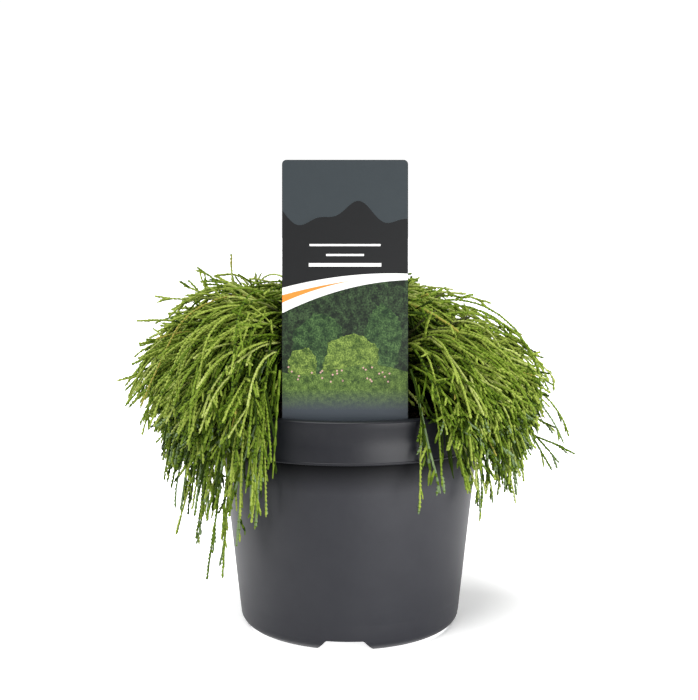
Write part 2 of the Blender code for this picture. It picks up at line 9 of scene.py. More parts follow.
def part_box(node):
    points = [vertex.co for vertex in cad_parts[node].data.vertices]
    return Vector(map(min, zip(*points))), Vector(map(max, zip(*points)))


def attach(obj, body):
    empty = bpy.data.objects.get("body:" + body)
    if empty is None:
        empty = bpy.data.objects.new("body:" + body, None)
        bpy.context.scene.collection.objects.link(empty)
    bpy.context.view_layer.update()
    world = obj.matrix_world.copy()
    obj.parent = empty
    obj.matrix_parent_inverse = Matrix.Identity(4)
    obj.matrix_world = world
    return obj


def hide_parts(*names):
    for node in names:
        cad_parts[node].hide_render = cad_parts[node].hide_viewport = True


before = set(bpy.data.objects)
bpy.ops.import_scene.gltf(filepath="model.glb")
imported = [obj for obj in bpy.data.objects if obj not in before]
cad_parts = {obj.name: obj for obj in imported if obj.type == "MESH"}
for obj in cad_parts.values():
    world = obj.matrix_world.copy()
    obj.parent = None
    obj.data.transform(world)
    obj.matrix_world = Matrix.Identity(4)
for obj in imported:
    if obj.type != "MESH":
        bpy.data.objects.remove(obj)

scene = bpy.context.scene
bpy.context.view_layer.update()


# Pot
# A round nursery pot of matte anthracite plastic, injection moulded in one piece.
# A deep band stiffens the rim, a faint parting line runs round above the foot, and
# four notches in the foot ring let the water out.
pot_low, pot_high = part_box("pot")
RIM_RADIUS, POT_HEIGHT = pot_high.x, pot_high.z
BAND_FOOT = POT_HEIGHT - 0.0275
BAND_THICKNESS = 0.0022
LIP_EDGE, BEAD_EDGE = 0.0014, 0.0010
# The band's face is a little hollow: how far in, at drops below the rim
BAND_FACE = ((0.0006, 0.0050), (0.0011, 0.0095), (0.0013, 0.0130), (0.0010, 0.0170), (0.0005, 0.0210))
WALL, WALL_TOP_RADIUS = 0.0018, 0.0892
SEAM_HEIGHT, SEAM_RADIUS, SEAM_STEP = 0.0181, 0.0778, 0.00003
BASE_FILLET, FLOOR_INSET = 0.0077, 0.006
FLOOR_HEIGHT, FOOT_WIDTH, CENTRE_FOOT_RADIUS = 0.0085, 0.0030, 0.012
POT_STEPS = 160
BAND_SHADOW, BAND_EDGE_BLEND = 0.0200, 0.0002
NOTCH_TURN, NOTCH_COUNT = math.radians(-2.4), 4
NOTCH_TOP_WIDTH, NOTCH_FOOT_WIDTH, NOTCH_HEIGHT = 0.0245, 0.038, 0.0076
NOTCH_ROUNDING, NOTCH_FOOT_ROUNDING = 0.0022, 0.0040
NOTCH_INNER_REACH, NOTCH_LENGTH = 0.050, 0.040
WALL_COLOURS = (0.0040, 0.0046, 0.0100), (0.0072, 0.0079, 0.0135)
BAND_COLOURS = (0.0055, 0.0059, 0.0095), (0.0090, 0.0095, 0.0130)
# SHADOW_COLOUR and SHADOW_SHEEN paint the band's shadow on the wall just below it
SHADOW_COLOUR = (0.0016, 0.0017, 0.0022)
WALL_SHEEN, SHADOW_SHEEN, BAND_SHEEN = (0.5, 0.5, 0.5), (0.05, 0.05, 0.05), (0.30, 0.30, 0.30)


def add_node(tree, kind, values=()):
    """A new shader node, with values for some of its inputs."""
    node = tree.nodes.new("ShaderNode" + kind)
    for socket, value in values:
        node.inputs[socket].default_value = value
    return node


def wire(tree, *links):
    """Links nodes: each link is a node and its output, then a node and its input."""
    for source, output, target, entry in links:
        tree.links.new(source.outputs[output], target.inputs[entry])


def new_material(name, colour, roughness, specular=0.5):
    """A Principled finish. Returns the material, its node tree and its shader."""
    material = bpy.data.materials.new(name)
    material.use_nodes = True
    shader = material.node_tree.nodes["Principled BSDF"]
    shader.inputs["Base Color"].default_value = (*colour, 1.0)
    shader.inputs["Roughness"].default_value = roughness
    shader.inputs["Specular IOR Level"].default_value = specular
    return material, material.node_tree, shader


def new_group(name, inputs, outputs):
    """An empty shader group with named sockets. Returns it with its inner input and output."""
    group = bpy.data.node_groups.new(name, "ShaderNodeTree")
    for socket in inputs:
        group.interface.new_socket(socket, in_out="INPUT", socket_type="NodeSocketFloat")
    for socket, kind in outputs:
        group.interface.new_socket(socket, in_out="OUTPUT", socket_type="NodeSocket" + kind)
    return group, group.nodes.new("NodeGroupInput"), group.nodes.new("NodeGroupOutput")


def use_group(tree, group, **values):
    """Places a shader group in a material with its own values."""
    node = add_node(tree, "Group")
    node.node_tree = group
    for socket, value in values.items():
        node.inputs[socket].default_value = value
    return node


def blend_colours(tree, mask, first, second):
    """A mix of two colours, or of a colour and a colour socket, by a mask socket."""
    mix = add_node(tree, "Mix")
    mix.data_type = "RGBA"
    tree.links.new(mask, mix.inputs["Factor"])
    for socket, colour in ((mix.inputs[6], first), (mix.inputs[7], second)):
        if isinstance(colour, tuple):
            socket.default_value = (*colour, 1.0)
        else:
            tree.links.new(colour, socket)
    return mix.outputs[2]


def place_object(name, data):
    """A new object in the scene, at the origin."""
    obj = bpy.data.objects.new(name, data)
    scene.collection.objects.link(obj)
    return obj


def add_piece(name, mesh, materials, slot, *replaced):
    """A finished piece of the plant, which rides on the one body."""
    for material in materials:
        mesh.materials.append(material)
    obj = place_object(name, mesh)
    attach(obj, "root")
    if replaced:
        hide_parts(*replaced)
    return obj


def mesh_from(shape, name, sharp_angle=None):
    """The bmesh as a mesh that faces outwards, smooth where it bends less than an angle."""
    bmesh.ops.recalc_face_normals(shape, faces=shape.faces)
    mesh = bpy.data.meshes.new(name)
    shape.to_mesh(mesh)
    shape.free()
    if sharp_angle:
        mesh.shade_smooth()
        mesh.set_sharp_from_angle(angle=math.radians(sharp_angle))
    return mesh


def arc(x, y, radius, start, end, steps):
    """Points along an arc, from one angle in degrees to another."""
    turns = [math.radians(start + (end - start) * step / steps) for step in range(steps + 1)]
    return [(x + radius * math.cos(turn), y + radius * math.sin(turn)) for turn in turns]


def pot_profile():
    """The wall's section, from the floor's middle up the inside and down the outside."""
    inside = WALL_TOP_RADIUS - WALL
    edge = LIP_EDGE * 0.6
    behind_band = RIM_RADIUS - BAND_THICKNESS
    taper = (WALL_TOP_RADIUS - SEAM_RADIUS) / (BAND_FOOT - SEAM_HEIGHT)
    lean = math.atan(taper)
    low = BASE_FILLET * (1 - math.sin(lean))
    fillet = SEAM_RADIUS - taper * (SEAM_HEIGHT - low) - BASE_FILLET * math.cos(lean)
    profile = [(0.0, FLOOR_HEIGHT + WALL), (SEAM_RADIUS - WALL - FLOOR_INSET, FLOOR_HEIGHT + WALL)]
    profile += [(SEAM_RADIUS - WALL, SEAM_HEIGHT), (inside, BAND_FOOT)]
    profile += arc(inside + edge, POT_HEIGHT - edge, edge, 180, 90, 4)
    profile += arc(RIM_RADIUS - LIP_EDGE, POT_HEIGHT - LIP_EDGE, LIP_EDGE, 90, 0, 6)
    profile += [(RIM_RADIUS - inset, POT_HEIGHT - drop) for inset, drop in BAND_FACE]
    profile += [(RIM_RADIUS - 0.0004, BAND_FOOT + 0.0024)]
    profile += arc(RIM_RADIUS - BEAD_EDGE, BAND_FOOT + BEAD_EDGE, BEAD_EDGE, 50, -90, 8)
    profile += [(behind_band, BAND_FOOT), (behind_band, POT_HEIGHT - WALL)]
    profile += [(WALL_TOP_RADIUS, POT_HEIGHT - WALL), (WALL_TOP_RADIUS, BAND_FOOT)]
    profile += [(SEAM_RADIUS, SEAM_HEIGHT + 0.0003), (SEAM_RADIUS - SEAM_STEP, SEAM_HEIGHT)]
    profile += [(SEAM_RADIUS - taper * 0.0003, SEAM_HEIGHT - 0.0003)]
    profile += arc(fillet, BASE_FILLET, BASE_FILLET, -math.degrees(lean), -90, 12)
    profile += [(fillet - FOOT_WIDTH, 0.0), (fillet - FOOT_WIDTH, FLOOR_HEIGHT)]
    return profile + [(CENTRE_FOOT_RADIUS, FLOOR_HEIGHT), (CENTRE_FOOT_RADIUS, 0.0), (0.0, 0.0)]


def turned_mesh(name, profile, steps):
    """A closed shape turned about Z from a profile of (radius, height)."""
    shape = bmesh.new()
    verts = [shape.verts.new((radius, 0.0, height)) for radius, height in profile]
    edges = [shape.edges.new(pair) for pair in zip(verts, verts[1:])]
    bmesh.ops.spin(
        shape, geom=verts + edges, cent=(0, 0, 0), axis=(0, 0, 1), angle=math.tau,
        steps=steps, use_merge=True,
    )
    bmesh.ops.remove_doubles(shape, verts=shape.verts, dist=0.00001)
    return mesh_from(shape, name)


def draw_out(shape, corners, shift):
    """Adds a prism to a bmesh: the face between the corners, extruded by a shift."""
    face = shape.faces.new([shape.verts.new(corner) for corner in corners])
    grown = bmesh.ops.extrude_face_region(shape, geom=[face])["geom"]
    moved = [item for item in grown if isinstance(item, bmesh.types.BMVert)]
    bmesh.ops.translate(shape, vec=shift, verts=moved)


def notch_cutter(index):
    """A bar with sloping, rounded sides that runs out through the foot ring."""
    half_top, half_foot = NOTCH_TOP_WIDTH / 2, NOTCH_FOOT_WIDTH / 2
    slope = math.atan2(NOTCH_HEIGHT, half_foot - half_top)
    spread, angle = math.tan(slope / 2), math.degrees(slope)
    foot_x, foot_z = half_foot + NOTCH_FOOT_ROUNDING * spread, NOTCH_FOOT_ROUNDING - 0.0001
    top_x, top_z = half_top - NOTCH_ROUNDING * spread, NOTCH_HEIGHT - NOTCH_ROUNDING
    side = [(foot_x, -0.001)] + arc(foot_x, foot_z, NOTCH_FOOT_ROUNDING, 270, 270 - angle, 7)
    side += arc(top_x, top_z, NOTCH_ROUNDING, 90 - angle, 90, 6)
    outline = side + [(-x, z) for x, z in reversed(side)]
    shape = bmesh.new()
    draw_out(shape, [(x, -NOTCH_INNER_REACH, z) for x, z in outline], (0.0, -NOTCH_LENGTH, 0.0))
    turn = Matrix.Rotation(NOTCH_TURN + index * math.tau / NOTCH_COUNT, 4, "Z")
    bmesh.ops.transform(shape, matrix=turn, verts=shape.verts)
    return place_object("notch_cutter", mesh_from(shape, "notch_cutter"))


# Shared effects: a fine raised grain, and soft patches from 0 to 1
grain_inputs = ("Scale", "Strength", "Distance")
fine_grain, entry, result = new_group("Fine grain", grain_inputs, (("Normal", "Vector"),))
place, grains = add_node(fine_grain, "TexCoord"), add_node(fine_grain, "TexNoise", [("Detail", 4.0)])
bump = add_node(fine_grain, "Bump")
wire(
    fine_grain, (place, "Object", grains, "Vector"), (entry, "Scale", grains, "Scale"),
    (entry, "Strength", bump, "Strength"), (entry, "Distance", bump, "Distance"),
    (grains, "Fac", bump, "Height"), (bump, "Normal", result, "Normal"),
)

patches, entry, result = new_group("Patches", ("Scale", "From", "To"), (("Mask", "Float"),))
place, spread = add_node(patches, "TexCoord"), add_node(patches, "MapRange")
clouds = add_node(patches, "TexNoise", [("Detail", 6.0), ("Roughness", 0.65)])
wire(
    patches, (place, "Object", clouds, "Vector"), (entry, "Scale", clouds, "Scale"),
    (clouds, "Fac", spread, "Value"), (entry, "From", spread, "From Min"),
    (entry, "To", spread, "From Max"), (spread, "Result", result, "Mask"),
)


def height_mask(tree, low, high):
    """A mask that goes from 0 to 1 between two heights over the ground."""
    place, parts = add_node(tree, "TexCoord"), add_node(tree, "SeparateXYZ")
    ramp = add_node(tree, "MapRange", [("From Min", low), ("From Max", high)])
    wire(tree, (place, "Object", parts, "Vector"), (parts, "Z", ramp, "Value"))
    return ramp.outputs["Result"]


def link_grain(tree, shader, scale, strength, distance):
    """Gives a finish the shared fine grain."""
    grain = use_group(tree, fine_grain, Scale=scale, Strength=strength, Distance=distance)
    wire(tree, (grain, "Normal", shader, "Normal"))


plastic, tree, shader = new_material("pot plastic", (0.020, 0.021, 0.024), 0.40, 0.5)
cloud = use_group(tree, patches, Scale=60.0, From=0.35, To=0.70).outputs["Mask"]
wall_colour = blend_colours(tree, cloud, *WALL_COLOURS)
band_colour = blend_colours(tree, cloud, *BAND_COLOURS)
# Painted shadow: the wall turns darker and less glossy just below the band
under_band = height_mask(tree, BAND_FOOT - BAND_SHADOW, BAND_FOOT - 0.0010)
wall_colour = blend_colours(tree, under_band, wall_colour, SHADOW_COLOUR)
on_band = height_mask(tree, BAND_FOOT - BAND_EDGE_BLEND, BAND_FOOT + BAND_EDGE_BLEND)
tree.links.new(blend_colours(tree, on_band, wall_colour, band_colour), shader.inputs["Base Color"])
wall_sheen = blend_colours(tree, under_band, WALL_SHEEN, SHADOW_SHEEN)
sheen = blend_colours(tree, on_band, wall_sheen, BAND_SHEEN)
tree.links.new(sheen, shader.inputs["Specular IOR Level"])
link_grain(tree, shader, 2400.0, 0.16, 0.0002)

pot = add_piece("pot_shell", turned_mesh("pot_shell", pot_profile(), POT_STEPS), [], "pot", "pot")
cutters = [notch_cutter(index) for index in range(NOTCH_COUNT)]
for cutter in cutters:
    notch = pot.modifiers.new("Notch", "BOOLEAN")
    notch.operation = "DIFFERENCE"
    notch.object = cutter
graph = bpy.context.evaluated_depsgraph_get()
pot_mesh = bpy.data.meshes.new_from_object(pot.evaluated_get(graph))
pot.modifiers.clear()
pot.data = pot_mesh
for cutter in cutters:
    bpy.data.objects.remove(cutter)
pot_mesh.materials.clear()
pot_mesh.materials.append(plastic)
pot_mesh.shade_smooth()
pot_mesh.set_sharp_from_angle(angle=math.radians(32))


# Growing medium
# Dark, damp peat with crumbs of bark, which fills the pot to just below the rim.
# Crumbs lie half sunk in its lumpy top.
SOIL_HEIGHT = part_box("growing_medium")[1].z
SOIL_RADIUS = WALL_TOP_RADIUS - WALL - 0.0004
SOIL_FOOT_RADIUS = SEAM_RADIUS - WALL - 0.0070
SOIL_DROP, SOIL_LUMPS = 0.005, 0.0009
SOIL_RINGS = 13
CRUMBS, CRUMB_SIZES = 5200, (0.0006, 0.0017)
BARK_CRUMBS, BARK_CRUMB_SIZES = 1000, (0.0007, 0.0022)
LABEL_SLOT = (0.047, 0.006)
label_low, label_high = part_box("plant_label")


def mottle(tree, shader, scale, limits, dark, light):
    """Gives a finish soft patches of two colours."""
    cloud = use_group(tree, patches, Scale=scale, From=limits[0], To=limits[1]).outputs["Mask"]
    tree.links.new(blend_colours(tree, cloud, dark, light), shader.inputs["Base Color"])


peat, tree, shader = new_material("damp peat", (0.020, 0.013, 0.009), 0.95, 0.15)
mottle(tree, shader, 400.0, (0.35, 0.70), (0.012, 0.008, 0.006), (0.034, 0.022, 0.014))
link_grain(tree, shader, 1500.0, 0.6, 0.0006)
bark_chips, tree, shader = new_material("bark crumbs", (0.070, 0.040, 0.022), 0.90, 0.15)
mottle(tree, shader, 500.0, (0.35, 0.70), (0.050, 0.028, 0.016), (0.095, 0.058, 0.034))


def soil_surface(x, y):
    """The height of the growing medium at a place, a little higher in the middle."""
    lumps = noise.noise(Vector((x * 120, y * 120, 0.3)))
    lumps += 0.6 * noise.noise(Vector((x * 330, y * 330, 4.1)))
    slope = SOIL_DROP * (math.hypot(x, y) / SOIL_RADIUS) ** 2
    return SOIL_HEIGHT - SOIL_LUMPS - slope + SOIL_LUMPS * lumps


def soil_mesh():
    """A lumpy disc, drawn down into a plug that fills the pot."""
    shape = bmesh.new()
    bmesh.ops.create_circle(shape, cap_ends=True, segments=96, radius=SOIL_RADIUS)
    middle = list(shape.faces)
    ring = SOIL_RADIUS * 0.9 / SOIL_RINGS
    for _ in range(SOIL_RINGS):
        bmesh.ops.inset_region(shape, faces=middle, thickness=ring, use_boundary=True)
    for vert in shape.verts:
        vert.co.z = soil_surface(vert.co.x, vert.co.y)
    rim = [edge for edge in shape.edges if edge.is_boundary]
    side = bmesh.ops.extrude_edge_only(shape, edges=rim)["geom"]
    shrink = SOIL_FOOT_RADIUS / SOIL_RADIUS
    for vert in [item for item in side if isinstance(item, bmesh.types.BMVert)]:
        vert.co = Vector((vert.co.x * shrink, vert.co.y * shrink, FLOOR_HEIGHT + WALL + 0.0004))
    bmesh.ops.contextual_create(shape, geom=[edge for edge in shape.edges if edge.is_boundary])
    return mesh_from(shape, "peat_surface", 60)


def mesh_from_arrays(name, points, faces, material_of_face=None):
    """A mesh from an array of points and an array of faces that all have as many corners."""
    mesh = bpy.data.meshes.new(name)
    mesh.vertices.add(len(points))
    mesh.vertices.foreach_set("co", points.astype(np.float32).ravel())
    mesh.loops.add(faces.size)
    mesh.loops.foreach_set("vertex_index", faces.astype(np.int32).ravel())
    mesh.polygons.add(len(faces))
    mesh.polygons.foreach_set("loop_start", np.arange(0, faces.size, faces.shape[1], dtype=np.int32))
    if material_of_face is not None:
        mesh.polygons.foreach_set("material_index", material_of_face.astype(np.int32))
    mesh.update(calc_edges=True)
    mesh.validate()
    return mesh


def crumbs_mesh(name, count, sizes, seed):
    """Loose crumbs on the growing medium, as joined eight-sided lumps."""
    draw = np.random.default_rng(seed)
    reach = (SOIL_RADIUS - sizes[1]) * np.sqrt(draw.random(count))
    turn = draw.uniform(0.0, math.tau, count)
    x, y = reach * np.sin(turn), -reach * np.cos(turn)
    clear = (np.abs(y - label_low.y * 0.95) > LABEL_SLOT[1]) | (np.abs(x) > LABEL_SLOT[0])
    x, y = x[clear], y[clear]
    z = np.array([soil_surface(across, along) for across, along in zip(x, y)])
    corners = np.array([[1, 0, 0], [-1, 0, 0], [0, 1, 0], [0, -1, 0], [0, 0, 1], [0, 0, -1]], float)
    sides = [(0, 2), (2, 1), (1, 3), (3, 0)]
    faces = np.array([[a, b, 4] for a, b in sides] + [[b, a, 5] for a, b in sides])
    size = draw.uniform(*sizes, (len(x), 1, 1)) * draw.uniform(0.5, 1.4, (len(x), 1, 3))
    local = corners[None] * size * draw.uniform(0.7, 1.3, (len(x), 6, 3))
    cos, sin = np.cos(turn[clear] * 7)[:, None], np.sin(turn[clear] * 7)[:, None]
    points = np.stack([
        local[..., 0] * cos - local[..., 1] * sin + x[:, None],
        local[..., 0] * sin + local[..., 1] * cos + y[:, None],
        local[..., 2] + z[:, None],
    ], axis=-1)
    triangles = faces[None] + 6 * np.arange(len(x))[:, None, None]
    return mesh_from_arrays(name, points.reshape(-1, 3), triangles.reshape(-1, 3))


add_piece("peat_surface", soil_mesh(), [peat], "growing_medium", "growing_medium")
add_piece("peat_crumbs", crumbs_mesh("peat_crumbs", CRUMBS, CRUMB_SIZES, 5), [peat], "growing_medium")
chips = crumbs_mesh("bark_crumbs", BARK_CRUMBS, BARK_CRUMB_SIZES, 6)
add_piece("bark_crumbs", chips, [bark_chips], "growing_medium")


# Plant label
# A card of stiff plastic, pushed into the medium at the front. Its plain print shows
# hills under a slate sky, three ruled lines, a curved white band with an ochre stripe,
# and round bushes over a lawn that fades to slate.
LABEL_LEAN = math.radians(6.0)
LABEL_RIM_Y, LABEL_THICKNESS = -0.0735, 0.0008
LABEL_SHIFT = (label_low.x + label_high.x) / 2
LABEL_HALF = (label_high.x - label_low.x) / 2
CARD_TOP = (label_high.z - POT_HEIGHT) / math.cos(LABEL_LEAN)
CARD_DEPTH, CARD_TAPER, CARD_TIP_WIDTH, CARD_CORNER = 0.038, 0.026, 0.022, 0.0028
PRINT_LAYER = 0.00006
PRINT_HALF = LABEL_HALF - 0.0002
FADE_START, FADE_END = POT_HEIGHT + 0.0045, POT_HEIGHT + 0.0180
BUSH_POINTS, BUSH_LOBES, BUSH_LEAVES = 72, 0.16, 0.10
INK_ROUGHNESS, INK_SHEEN = 0.36, 0.3
# The foot's slate is print, made lighter than the sky's as painted light against the shade of the rim and the
# foliage
SLATE, FOOT_SLATE = (0.030, 0.038, 0.043), (0.048, 0.059, 0.072)
label_place = (
    Matrix.Translation((LABEL_SHIFT, LABEL_RIM_Y, POT_HEIGHT))
    @ Matrix.Rotation(-LABEL_LEAN, 4, "X")
    @ Matrix.Rotation(math.pi / 2, 4, "X")
)


def flat_mesh(name, outlines, front, thickness):
    """Flat sheets from outlines in the label's plane, up to a distance before its middle."""
    shape = bmesh.new()
    for outline in outlines:
        draw_out(shape, [(x, y, front - thickness) for x, y in outline], (0.0, 0.0, thickness))
    bmesh.ops.transform(shape, matrix=label_place, verts=shape.verts)
    return mesh_from(shape, name)


def print_layer(name, level, material, *outlines):
    """One colour of the print, a thin film over the layers below it."""
    front = LABEL_THICKNESS / 2 + level * PRINT_LAYER
    add_piece(name, flat_mesh(name, outlines, front, PRINT_LAYER), [material], "plant_label")


def across(lower, upper, steps=28):
    """An outline across the card between two curves of a place from -1 to 1."""
    places = [-1 + 2 * step / steps for step in range(steps + 1)]
    low = [(PRINT_HALF * place, lower(place)) for place in places]
    return low + [(PRINT_HALF * place, upper(place)) for place in reversed(places)]


def card_outline():
    """Square sides, round top corners and a stake that tapers below the rim."""
    corner = LABEL_HALF - CARD_CORNER
    outline = [(-CARD_TIP_WIDTH / 2, -CARD_DEPTH), (CARD_TIP_WIDTH / 2, -CARD_DEPTH)]
    outline += [(LABEL_HALF, CARD_TAPER - CARD_DEPTH)]
    outline += arc(corner, CARD_TOP - CARD_CORNER, CARD_CORNER, 0, 90, 6)
    outline += arc(-corner, CARD_TOP - CARD_CORNER, CARD_CORNER, 90, 180, 6)
    return outline + [(-LABEL_HALF, CARD_TAPER - CARD_DEPTH)]


def hill_line(place):
    return CARD_TOP - 0.0345 + 0.0060 * math.sin(place * 4.3 + 0.9) + 0.0028 * math.sin(place * 9.1 - 0.6)


def sky_outline():
    """The slate sky, down to the hills."""
    corner = LABEL_HALF - CARD_CORNER
    radius = CARD_CORNER - LABEL_HALF + PRINT_HALF
    outline = [(PRINT_HALF * (-1 + step / 20), hill_line(-1 + step / 20)) for step in range(41)]
    outline += arc(corner, CARD_TOP - CARD_CORNER, radius, 0, 90, 6)
    return outline + arc(-corner, CARD_TOP - CARD_CORNER, radius, 90, 180, 6)


def band_foot(place):
    return 0.0660 + 0.0105 * (place + 1) + 0.0046 * (1 - place ** 2)


def band_top(place):
    return 0.0820 + 0.0045 * (place + 1) + 0.0030 * (1 - place ** 2)


def stripe_outline():
    """The ochre stripe on the white band, drawn out to a point."""
    places = [-1 + 1.15 * step / 16 for step in range(17)]
    depth = [(band_top(place) - band_foot(place)) * (0.30 * (0.15 - place) / 1.15) for place in places]
    middle = [band_foot(place) + (band_top(place) - band_foot(place)) * 0.56 for place in places]
    low = [(PRINT_HALF * place, mid - deep / 2) for place, mid, deep in zip(places, middle, depth)]
    high = [(PRINT_HALF * place, mid + deep / 2) for place, mid, deep in zip(places, middle, depth)]
    return low + high[-2::-1]


def bush(x, y, width, height):
    """A round bush with an uneven, leafy edge. The lawn hides its foot."""
    outline = []
    for cos, sin in arc(0, 0, 1, 0, 360 - 360 / BUSH_POINTS, BUSH_POINTS - 1):
        swell = 1.0 + BUSH_LOBES * noise.noise(Vector((cos * 2.5, sin * 2.5, x * 900)))
        swell += BUSH_LEAVES * noise.noise(Vector((cos * 14, sin * 14, x * 900)))
        outline.append((x + width * cos * swell, y + height * sin * swell))
    return outline


def lawn_top(place):
    return 0.0300 + 0.0035 * math.sin(place * 3.1 + 0.4)


def plain_ink(name, colour):
    """A flat printed colour under a soft sheen, with a faint unevenness."""
    ink, tree, shader = new_material(name, colour, INK_ROUGHNESS, INK_SHEEN)
    mottle(tree, shader, 90.0, (0.2, 0.8), tuple(part * 0.93 for part in colour), colour)
    return ink


def leafy_ink(name, scale, dark, light):
    """A printed green that is mottled like leaves and fades to slate at the card's foot."""
    ink, tree, shader = new_material(name, light, INK_ROUGHNESS, INK_SHEEN)
    leaves = use_group(tree, patches, Scale=scale, From=0.40, To=0.62).outputs["Mask"]
    shadows = use_group(tree, patches, Scale=scale * 0.22, From=0.38, To=0.60).outputs["Mask"]
    lit = blend_colours(tree, leaves, dark, light)
    shaded = blend_colours(tree, leaves, tuple(part * 0.35 for part in dark), dark)
    greens = blend_colours(tree, shadows, shaded, lit)
    rising = height_mask(tree, FADE_START, FADE_END)
    tree.links.new(blend_colours(tree, rising, FOOT_SLATE, greens), shader.inputs["Base Color"])
    return ink


anthracite = plain_ink("label anthracite", (0.0068, 0.0072, 0.0080))
slate = plain_ink("label slate", SLATE)
foot_slate = plain_ink("label foot slate", FOOT_SLATE)
white = plain_ink("label white", (0.84, 0.84, 0.83))
ochre = plain_ink("label ochre", (0.80, 0.24, 0.035))
blossom = plain_ink("label blossom", (0.55, 0.33, 0.30))
hedge = leafy_ink("label hedge", 900.0, (0.004, 0.011, 0.005), (0.050, 0.092, 0.034))
deep_bush = leafy_ink("label deep bush", 1000.0, (0.010, 0.036, 0.010), (0.085, 0.160, 0.048))
bright_bush = leafy_ink("label bright bush", 1100.0, (0.055, 0.110, 0.014), (0.260, 0.350, 0.070))
lawn = leafy_ink("label lawn", 1500.0, (0.045, 0.095, 0.014), (0.170, 0.260, 0.055))

card = flat_mesh("label_card", [card_outline()], LABEL_THICKNESS / 2, LABEL_THICKNESS)
add_piece("label_card", card, [anthracite], "plant_label", "plant_label")
print_layer("print_sky", 1, slate, sky_outline())
lines = [(0.0225, 0.1085, 0.0013), (0.0120, 0.1022, 0.0013), (0.0230, 0.0955, 0.0022)]
print_layer("print_lines", 1, white, *[
    [(-half, low), (half, low), (half, low + deep), (-half, low + deep)] for half, low, deep in lines
])
print_layer("print_hedge", 1, hedge, across(lambda place: 0.0015, band_foot))
far_bushes = (bush(-0.0165, 0.046, 0.0165, 0.0185), bush(0.0240, 0.049, 0.0120, 0.0215))
near_bushes = (bush(0.0040, 0.036, 0.0185, 0.0160), bush(-0.0270, 0.033, 0.0095, 0.0110))
print_layer("print_deep_bushes", 2, deep_bush, *far_bushes)
print_layer("print_bright_bushes", 3, bright_bush, *near_bushes)
print_layer("print_lawn", 4, lawn, across(lambda place: 0.0015, lawn_top))
scatter = np.random.default_rng(3)
spots = [(scatter.uniform(-0.036, 0.036), scatter.uniform(0.0215, 0.0320)) for _ in range(26)]
print_layer("print_blossom", 5, blossom, *[arc(x, y, 0.0006, 0, 320, 8) for x, y in spots])
print_layer("print_foot", 5, foot_slate, across(lambda place: -0.0100, lambda place: 0.0050))
print_layer("print_band", 5, white, across(band_foot, band_top))
print_layer("print_stripe", 6, ochre, stripe_outline())


# Trunk and boughs
# One short stem with a root flare, and limbs that leave it just above the medium.
# The bark is rough, red-brown and ridged lengthwise.
BARK_SIDES, BARK_RINGS = 18, 8
RIDGE_DEPTH, RIDGE_SCALE = 0.11, 700.0
TRUNK_FOOT_RADIUS, TRUNK_RADIUS, TRUNK_TOP_RADIUS = 0.0077, 0.0052, 0.0042
FLARE_HEIGHT = 0.006
BOUGH_RADIUS, BOUGH_ELBOW_RADIUS, BOUGH_MIDDLE_RADIUS, BOUGH_TIP_RADIUS = 0.0028, 0.00266, 0.0024, 0.0020
BOUGH_TIP_REACH, BOUGH_TIP_HEIGHT = 0.0300, 0.1785
SKIRT_START = math.radians(28.0)
SKIRT = ("front_right", "right", "rear_right", "back_right", "back_left", "rear_left", "left", "front_left")
SECTOR = (math.tau - 2 * SKIRT_START) / len(SKIRT)
headings = {name: SKIRT_START + (index + 0.5) * SECTOR for index, name in enumerate(SKIRT)}
headings["behind_label"] = 0.0

bark, tree, shader = new_material("red-brown bark", (0.085, 0.045, 0.028), 0.85, 0.2)
mottle(tree, shader, 260.0, (0.35, 0.68), (0.040, 0.022, 0.015), (0.130, 0.075, 0.048))
link_grain(tree, shader, 1100.0, 0.5, 0.0006)


def round_about(angle):
    """The level unit vector outwards at an angle round the pot, from the front towards +X."""
    return Vector((math.sin(angle), -math.cos(angle), 0.0))


def limb_mesh(name, knots, radii):
    """A limb drawn out ring by ring along its knots, with ridges in its bark."""
    knots = [Vector(knot) for knot in knots]
    rings = BARK_RINGS * (len(knots) - 1)
    places, sizes = [], []
    for ring in range(rings + 1):
        along = ring / BARK_RINGS
        index = min(int(along), len(knots) - 2)
        places.append(knots[index].lerp(knots[index + 1], along - index))
        sizes.append(radii[index] + (radii[index + 1] - radii[index]) * (along - index))
    shape = bmesh.new()
    bmesh.ops.create_circle(shape, cap_ends=True, segments=BARK_SIDES, radius=1.0)
    face, last = shape.faces[:][0], Matrix.Identity(4)
    verts = list(shape.verts)
    for ring, (place, size) in enumerate(zip(places, sizes)):
        run = places[min(ring + 1, rings)] - places[max(ring - 1, 0)]
        turn = run.to_track_quat("Z", "Y").to_matrix().to_4x4()
        here = Matrix.Translation(place) @ turn @ Matrix.Diagonal((size, size, size, 1.0))
        if ring:
            grown = bmesh.ops.extrude_face_region(shape, geom=[face])["geom"]
            verts = [item for item in grown if isinstance(item, bmesh.types.BMVert)]
            old, face = face, next(item for item in grown if isinstance(item, bmesh.types.BMFace))
            if ring > 1:
                bmesh.ops.delete(shape, geom=[old], context="FACES_ONLY")
        bmesh.ops.transform(shape, matrix=here @ last.inverted(), verts=verts)
        last = here
        for vert in verts:
            bulge = noise.noise(Vector((vert.co.x, vert.co.y, vert.co.z * 0.25)) * RIDGE_SCALE)
            vert.co += (vert.co - place) * RIDGE_DEPTH * bulge
    return mesh_from(shape, name, 50)


